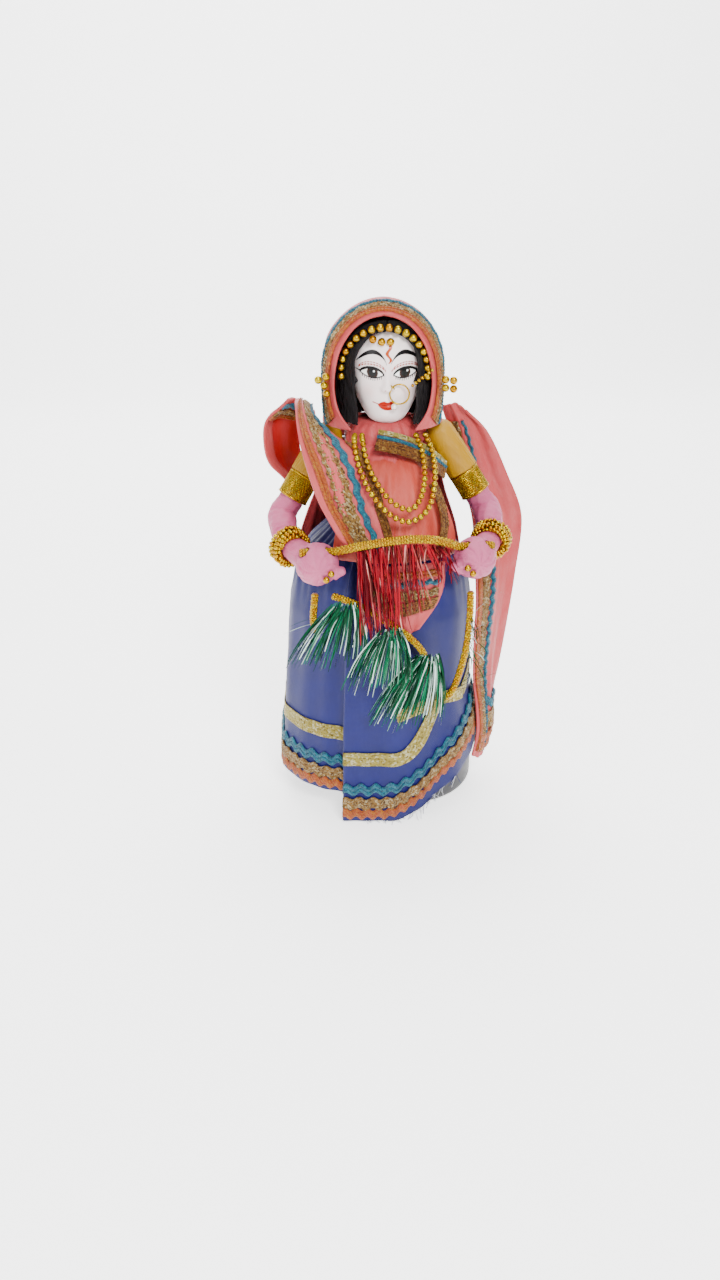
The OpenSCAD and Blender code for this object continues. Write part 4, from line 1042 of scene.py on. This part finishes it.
def make_hood():
    edge = hood_edge(0, 700, 178.61)
    left = edge[edge[:, 0] <= -1]
    z = 178.6 + (228.95 - 178.6) * (1 - (1 - np.linspace(0, 1, 110)) ** 1.7)
    half = np.interp(z, left[:, 2], -1 - left[:, 0], right=0)
    r = hood_radius(z)
    start = np.arcsin(np.clip(half / np.maximum(r, 1e-3), 0, 0.999))
    share = np.linspace(0, 1, 240)
    phi = start[:, None] + (2 * math.pi - 2 * start[:, None]) * share[None]
    zz = np.repeat(z[:, None], 240, 1)
    away = np.sin(math.pi * share)[None] * (1 - smooth((zz - 214) / 12))
    folds = 0.55 * np.sin(11 * phi + zz * 0.06) + 0.3 * np.sin(23 * phi - zz * 0.11) + 0.25 * np.sin(zz * 0.33 + 4 * phi)
    flare = look(zz, [(178.6, 0.6), (190, 0.1), (229, 0)])
    rr = r[:, None] - 0.75 + folds * away * 0.8 + flare * away
    grid = np.stack([-1 + rr * np.sin(phi), -rr * np.cos(phi), zz], -1)
    hood = cloth_piece("hood_cloth", grid, PINK, "hood", 0.9, "head", True)
    for name, near, far, material, relief, slot, node, swing in (
            ("hood_orange_trim", 2.5, 5.2, ORANGE, twin_cord, "orange_braid", "hood_orange_cord", 0.0),
            ("hood_zari_trim", 5.3, 8.6, ZARI, crinkle, "zari_braid", "hood_zari_braid", 0.06),
            ("hood_teal_trim", 8.8, 11.4, TEAL, twin_cord, "teal_braid", "hood_teal_cord", 0.12)):
        batch = Batch()
        a, out = hood_line(near)
        b, _ = hood_line(far)
        trim(batch, a, b, out, relief, swing=swing, lift=0.1, base=0.2)
        piece = batch.build(name, [material], "head", on_head=True)
        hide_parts(node)


# ---- Arms ----

SHOULDER, ELBOW, WRIST = np.array([25, 0, 172.0]), np.array([46, -5, 139.0]), np.array([44, -25, 131.0])
MID_FOREARM, FIST = np.array([46, -15, 134.5]), np.array([33.5, -40, 128.0])


def soft_copy(name, nodes, voxel, material, body, relief, passes=6):
    """Cloth skin over CAD solids: one smooth skin, then relief(point, normal) in millimetres moves it."""
    bm = bmesh.new()
    for n in nodes:
        bm.from_mesh(frame["nodes"][n].data)
    mesh = bpy.data.meshes.new(name)
    bm.to_mesh(mesh)
    bm.free()
    obj = bpy.data.objects.new(name, mesh)
    bpy.context.scene.collection.objects.link(obj)
    remesh = obj.modifiers.new("skin", "REMESH")
    remesh.mode = "VOXEL"
    remesh.voxel_size = voxel * MM
    relax = obj.modifiers.new("relax", "SMOOTH")
    relax.iterations = passes
    relax.factor = 0.5
    made = bpy.data.meshes.new_from_object(obj.evaluated_get(bpy.context.evaluated_depsgraph_get()))
    obj.modifiers.clear()
    obj.data = made
    made.materials.clear()
    made.materials.append(material)
    count = len(made.vertices)
    co, no = np.zeros(count * 3), np.zeros(count * 3)
    made.vertices.foreach_get("co", co)
    made.vertices.foreach_get("normal", no)
    co, no = co.reshape(-1, 3), no.reshape(-1, 3)
    p = co / MM - (AXIS_X, 0, 0)
    co = co + no * relief(p)[:, None] * MM
    made.vertices.foreach_set("co", co.ravel())
    flat = made.uv_layers.new(name="cloth")
    spots = np.zeros(len(made.loops), int)
    made.loops.foreach_get("vertex_index", spots)
    flat.data.foreach_set("uv", (p[:, [0, 2]] + p[:, [1, 1]] * 0.6)[spots].ravel())
    made.polygons.foreach_set("use_smooth", [True] * len(made.polygons))
    made.update()
    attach(obj, body)
    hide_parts(*nodes)
    return obj


def pucker(p, side):
    """Gathers of the stuffed arm and fist: fine wrinkles, and pulled creases from the palm."""
    mirrored = p * (side, 1, 1)
    rough = np.array([noise.noise(Vector(q) * 0.35) + 0.5 * noise.noise(Vector(q) * 0.9) for q in p])
    d = mirrored - FIST
    turn = np.arctan2(d[:, 2], d[:, 0])
    crease = np.abs(np.sin(4.5 * turn + 0.8 * np.sin(d[:, 1] * 0.5))) ** 0.35 - 1
    near = np.exp(-((np.linalg.norm(d, axis=1) - 9) / 3) ** 2) * smooth((-d[:, 1] + 1) / 6)
    tied = np.exp(-((mirrored - WRIST) @ unit(FIST - MID_FOREARM) / 1.6) ** 2) * (np.linalg.norm(mirrored - WRIST, axis=1) < 8)
    return 0.28 * rough - 0.15 + 0.75 * crease * near - 0.15 * tied


def make_arm(side, word, other):
    def mirror(points):
        return np.asarray(points, float) * (side, 1, 1)

    arm = soft_copy(f"{word}_arm_cloth", [f"{word}_forearm", f"{word}_hand"], 0.42, ARM, f"{word}_forearm",
                    lambda p: pucker(p, side))
    sleeve = soft_copy(f"{word}_sleeve_cloth", [f"{word}_sleeve"], 0.42, YELLOW, f"{word}_upper_arm",
                       lambda p: 0.22 * np.sin(2.2 * (p * (side, 1, 1) - SHOULDER) @ np.array([0.3, 0.9, 0.2])) ** 2
                       * smooth(((p * (side, 1, 1) - SHOULDER) @ unit(ELBOW - SHOULDER) + 4) / 14), 3)

    route = catmull([SHOULDER + (ELBOW - SHOULDER) * 0.66, SHOULDER + (ELBOW - SHOULDER) * 0.83, ELBOW + (0, 0.2, 0.2),
                     ELBOW * 0.5 + MID_FOREARM * 0.5, MID_FOREARM * 0.8 + WRIST * 0.2], np.linspace(0, 1, 60))
    swell = look(np.linspace(0, 1, 60), [(0, 5.45), (0.3, 5.5), (0.42, 6.0), (0.6, 6.3), (0.85, 6.0), (1, 5.3)])
    skin = Batch()
    skin.tube(mirror(route), swell, 48, relief=lambda a, s: 0.16 * np.sin(5 * a + s) * np.sin(s * 0.9)
              + 0.12 * np.sin(9 * a - 0.7 * s))
    elbow = skin.build(f"{word}_elbow_cloth", [ARM], f"{word}_upper_arm")
    elbow.parent = None
    del elbow["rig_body"]
    placed(mirror(SHOULDER + (ELBOW - SHOULDER) * 0.86))
    placed(mirror(ELBOW * 0.55 + MID_FOREARM * 0.45))
    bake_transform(elbow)

    ahead = unit(ELBOW - SHOULDER)
    across = unit(np.cross(ahead, (0, 1, 0)))
    third = np.cross(ahead, across)
    batch = Batch()
    ang = np.linspace(0, 2 * math.pi, 72, endpoint=False)
    along = np.linspace(19.4, 30.4, 24)
    r = 6.15 + 0.12 * np.sin(9 * ang)[None] + 0.25 * np.cos((along - 19.4) / 11 * 2 * math.pi)[:, None] * 0.5
    tube = SHOULDER + along[:, None, None] * ahead + r[..., None] * (
        np.cos(ang)[None, :, None] * across + np.sin(ang)[None, :, None] * third)
    batch.cloth(mirror(tube), 0.5, ring=True)
    t = np.linspace(0, 1, 14)
    mesh = Batch()
    for k in range(46):
        for sense in (-1, 1):
            a = 2 * math.pi * (k / 46 + sense * t * 0.2)
            line = SHOULDER + (19.5 + 10.8 * t)[:, None] * ahead + 6.62 * (
                np.cos(a)[:, None] * across + np.sin(a)[:, None] * third)
            mesh.tube(mirror(line), 0.17, 4)
    ring_angle = np.linspace(0, 2 * math.pi, 60)
    for where, thick in ((19.6, 0.4), (30.2, 0.45)):
        rim = SHOULDER + where * ahead + 6.6 * (np.cos(ring_angle)[:, None] * across + np.sin(ring_angle)[:, None] * third)
        mesh.tube(mirror(rim), thick, 6)
    cuff = batch.build(f"{word}_mesh_cuff", [NET], f"{word}_upper_arm")
    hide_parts(f"{word}_cuff")
    wires = mesh.build(f"{word}_cuff_wires", [PLATE], f"{word}_upper_arm")

    coil = Batch()
    ahead = unit(FIST - MID_FOREARM)
    across = unit(np.cross(ahead, (0, 0, 1)))
    third = np.cross(ahead, across)
    for shift in (-1.9, 1.9):
        for k in range(23):
            for m in range(6):
                spin = 2 * math.pi * (m / 6 + k * 0.13)
                turn = 2 * math.pi * (k + m / 6) / 23
                out = math.cos(turn) * across + math.sin(turn) * third
                r = 6.95 + 1.2 * math.cos(spin)
                spot = WRIST + ahead * (shift + 1.2 * math.sin(spin)) + out * r
                coil.ball(mirror(spot), 0.92 + rng.uniform(-0.06, 0.06))
    bangles = coil.build(f"{word}_bead_bangles", [GOLD], f"{word}_forearm")
    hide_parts(f"{word}_bangles")


# ---- Garland ----

def crochet(ang, s):
    """Relief of a rope crocheted with small beads."""
    return 0.2 * np.abs(np.sin(3 * ang + 1.25 * s) * np.sin(3 * ang - 1.25 * s)) ** 0.7 - 0.45


def garland_cord(name, route, radius, node, body="garland"):
    path = even(route, int(lengths(even(route, 200))[-1] / 0.22))
    batch = Batch()
    batch.tube(path, radius, 26, relief=crochet)
    along = lengths(path)
    for row, s in enumerate(np.arange(0.8, along[-1] - 0.6, 1.15)):
        at = path[np.searchsorted(along, s)]
        forward = unit(path[min(np.searchsorted(along, s) + 1, len(path) - 1)] - at)
        side = unit(np.cross(forward, (0.1, 0.2, 1)))
        over = np.cross(side, forward)
        for k in range(6):
            turn = (k + 0.5 * (row % 2)) * math.pi / 3 + rng.uniform(-0.12, 0.12)
            batch.ball(at + (radius - 0.42) * (math.cos(turn) * side + math.sin(turn) * over), 0.6, 1)
    piece = batch.build(name, [ROPE_GOLD, GOLD], body)
    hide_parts(node)
    return piece, placed(even(route, 60)), float(lengths(path)[-1])


def strand(batch, start, end, bow, wide, mat=0, points=9):
    """One foil strip that hangs from start to end, with a bow and a slow twist."""
    t = np.linspace(0, 1, points)[:, None]
    path = np.array(start) * (1 - t) + np.array(end) * t + np.array(bow) * np.sin(math.pi * t)
    spin = rng.uniform(0, math.pi) + rng.uniform(-2.5, 2.5) * t
    across = np.concatenate([np.cos(spin), 0.7 * np.sin(spin), 0.1 * np.sin(spin)], 1)
    batch.strip(path, across * wide * (1 - 0.5 * t ** 3), mat)


def make_garland():
    rope, rope_path, rope_mm = garland_cord("garland_bead_rope", ROPE, 1.7, "garland_rope")
    loop, loop_path, loop_mm = garland_cord("garland_bead_loop", LOOP, 1.45, "garland_loop")
    tail, _, _ = garland_cord("garland_rope_end", TAIL, 1.45, "garland_tail")

    red = Batch()
    line = even(ROPE, 200)
    for k in range(170):
        u = rng.random() ** 1.5
        x = -18 + 39 * u
        at = line[int(np.argmin(np.abs(line[:, 0] - x)))]
        top = at + (0, -0.2 - 1.2 * rng.random(), -1.9)
        low = 97 + 24 * smooth((u - 0.35) / 0.4) + rng.uniform(-1.5, 10)
        drift = rng.uniform(-3, 7) + 2
        end = np.array([top[0] + drift, -51 - rng.random() * 1.4, low])
        strand(red, top, end, (rng.uniform(-1.5, 1.5), -0.5 * rng.random(), 0), rng.uniform(0.22, 0.42))
    red_fringe = red.build("red_tinsel_fringe", [RED_FOIL], "garland", closed=False)
    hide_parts("red_tinsel")

    green = Batch()
    for top, low, spread, count in (((-23, -50.4, 114), (-31, -51.5, 85), 36, 130),
                                    ((-5, -52.6, 102), (-10, -53.2, 73), 32, 130),
                                    ((12, -50.6, 88), (2, -52, 54), 38, 180)):
        for k in range(count):
            fan = rng.uniform(-0.5, 0.5)
            start = np.array(top) + (fan * 11, rng.uniform(-0.6, 0.6), rng.uniform(-5, 1))
            reach = rng.uniform(0.65, 1.0)
            tip = np.array(low) + (fan * spread, rng.uniform(-0.8, 0.8), 4 * abs(fan) + rng.uniform(-3, 3))
            end = start + (tip - start) * reach
            strand(green, start, end, (fan * 3, rng.uniform(-0.5, 0.2), 0.6), rng.uniform(0.2, 0.4))
    for start, end in (((-30, -49, 108), (-46, -46, 103)), ((-30, -49, 106), (-49, -46, 99.5)), ((-31, -49, 104), (-46, -46, 91)),
                       ((-30, -49.5, 102), (-43, -47, 93)), ((24, -49, 70), (47, -40, 73)), ((22, -49, 69), (44, -40, 67)),
                       ((25, -49, 71), (41, -44, 78)), ((31, -46.6, 104), (46, -40, 112)), ((31, -46.6, 106), (44, -38, 118)),
                       ((31, -46.8, 96), (43, -42, 99))):
        strand(green, start, end, (0, -0.4, 1.2), 0.2)
    for k in range(26):
        top = np.array([31 + rng.uniform(-0.6, 0.6), -47.2 - rng.random(), rng.uniform(84, 104)])
        end = top + (rng.uniform(-2, 8), rng.uniform(-1, 1), rng.uniform(-16, 3))
        strand(green, top, end, (1, -0.4, 0), 0.22)
    green_fringe = green.build("green_tinsel_fringe", [GREEN_FOIL], "garland", closed=False)
    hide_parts("green_tinsel")


# ---- Setting ----

def make_setting():
    size = 1.2
    mesh = bpy.data.meshes.new("studio_floor")
    t = np.linspace(0, 1, 40)
    turn = np.minimum(np.maximum((t - 0.45) / 0.2, 0), 1) * math.pi / 2
    y = np.where(t < 0.45, -size + (t / 0.45) * (size + 0.9), 0.9 + 0.3 * np.sin(turn))
    z = np.where(t < 0.45, 0, 0.3 - 0.3 * np.cos(turn)) + np.maximum(t - 0.65, 0) * 4
    points = [(x, float(b), float(c)) for b, c in zip(y, z) for x in (-2.5, 2.5)]
    faces = [(2 * k, 2 * k + 1, 2 * k + 3, 2 * k + 2) for k in range(39)]
    mesh.from_pydata(points, [], faces)
    mesh.polygons.foreach_set("use_smooth", [True] * len(faces))
    ground = Look("studio_white", Roughness=0.6)
    ground.shader.inputs["Base Color"].default_value = (0.95, 0.95, 0.95, 1)
    ground.shader.inputs["Emission Color"].default_value = (1, 1, 1, 1)
    ground.shader.inputs["Emission Strength"].default_value = 1.5
    mesh.materials.append(ground.material)
    floor = bpy.data.objects.new("studio_floor", mesh)
    bpy.context.scene.collection.objects.link(floor)

    def lamp(name, where, target, size, watts):
        data = bpy.data.lights.new(name, "AREA")
        data.energy, data.size = watts, size
        obj = bpy.data.objects.new(name, data)
        obj.location = where
        obj.rotation_euler = (Vector(target) - Vector(where)).to_track_quat("-Z", "Y").to_euler()
        bpy.context.scene.collection.objects.link(obj)

    lamp("key", (0.12, -0.8, 0.75), (0, 0, 0.14), 0.3, 17)
    lamp("fill", (-0.8, -0.5, 0.45), (0, 0, 0.12), 0.5, 5)
    lamp("top", (0, 0.1, 1.1), (0, 0, 0.1), 0.6, 5)
    lamp("backdrop", (0, 0.5, 1.2), (0, 1.1, 0.4), 1.0, 24)
    world = bpy.data.worlds.new("studio")
    world.use_nodes = True
    world.node_tree.nodes["Background"].inputs["Color"].default_value = (1, 1, 1, 1)
    world.node_tree.nodes["Background"].inputs["Strength"].default_value = 0.4
    bpy.context.scene.world = world


add_camera()
make_garland()
make_skirt()
make_drapes()
make_body_cloth()
make_head()
make_hair()
make_hood()
make_arm(1, "left", 1)
make_arm(-1, "right", 1)
dress(BLACK, "base_cup")
dress(PLASTER, "ballast_plug")
dress(WOOD, "core_dowel")
dress(TORSO_WOOD, "torso_form")
dress(PAPER, "skirt_stuffing")
dress(STEEL, "shoulder_wire", "left_elbow_wire", "right_elbow_wire")
dress(ARM, "left_arm_core", "right_arm_core")
dress(THREAD, "necklace_threads")
dress(GOLD, "bead_necklaces", "bead_headband", "left_earring", "right_earring", "left_finger_ring", "right_finger_ring")
dress(PLATE, "nath_chain", "nose_ring")
dress(PEARL, "nose_pearl")
make_setting()
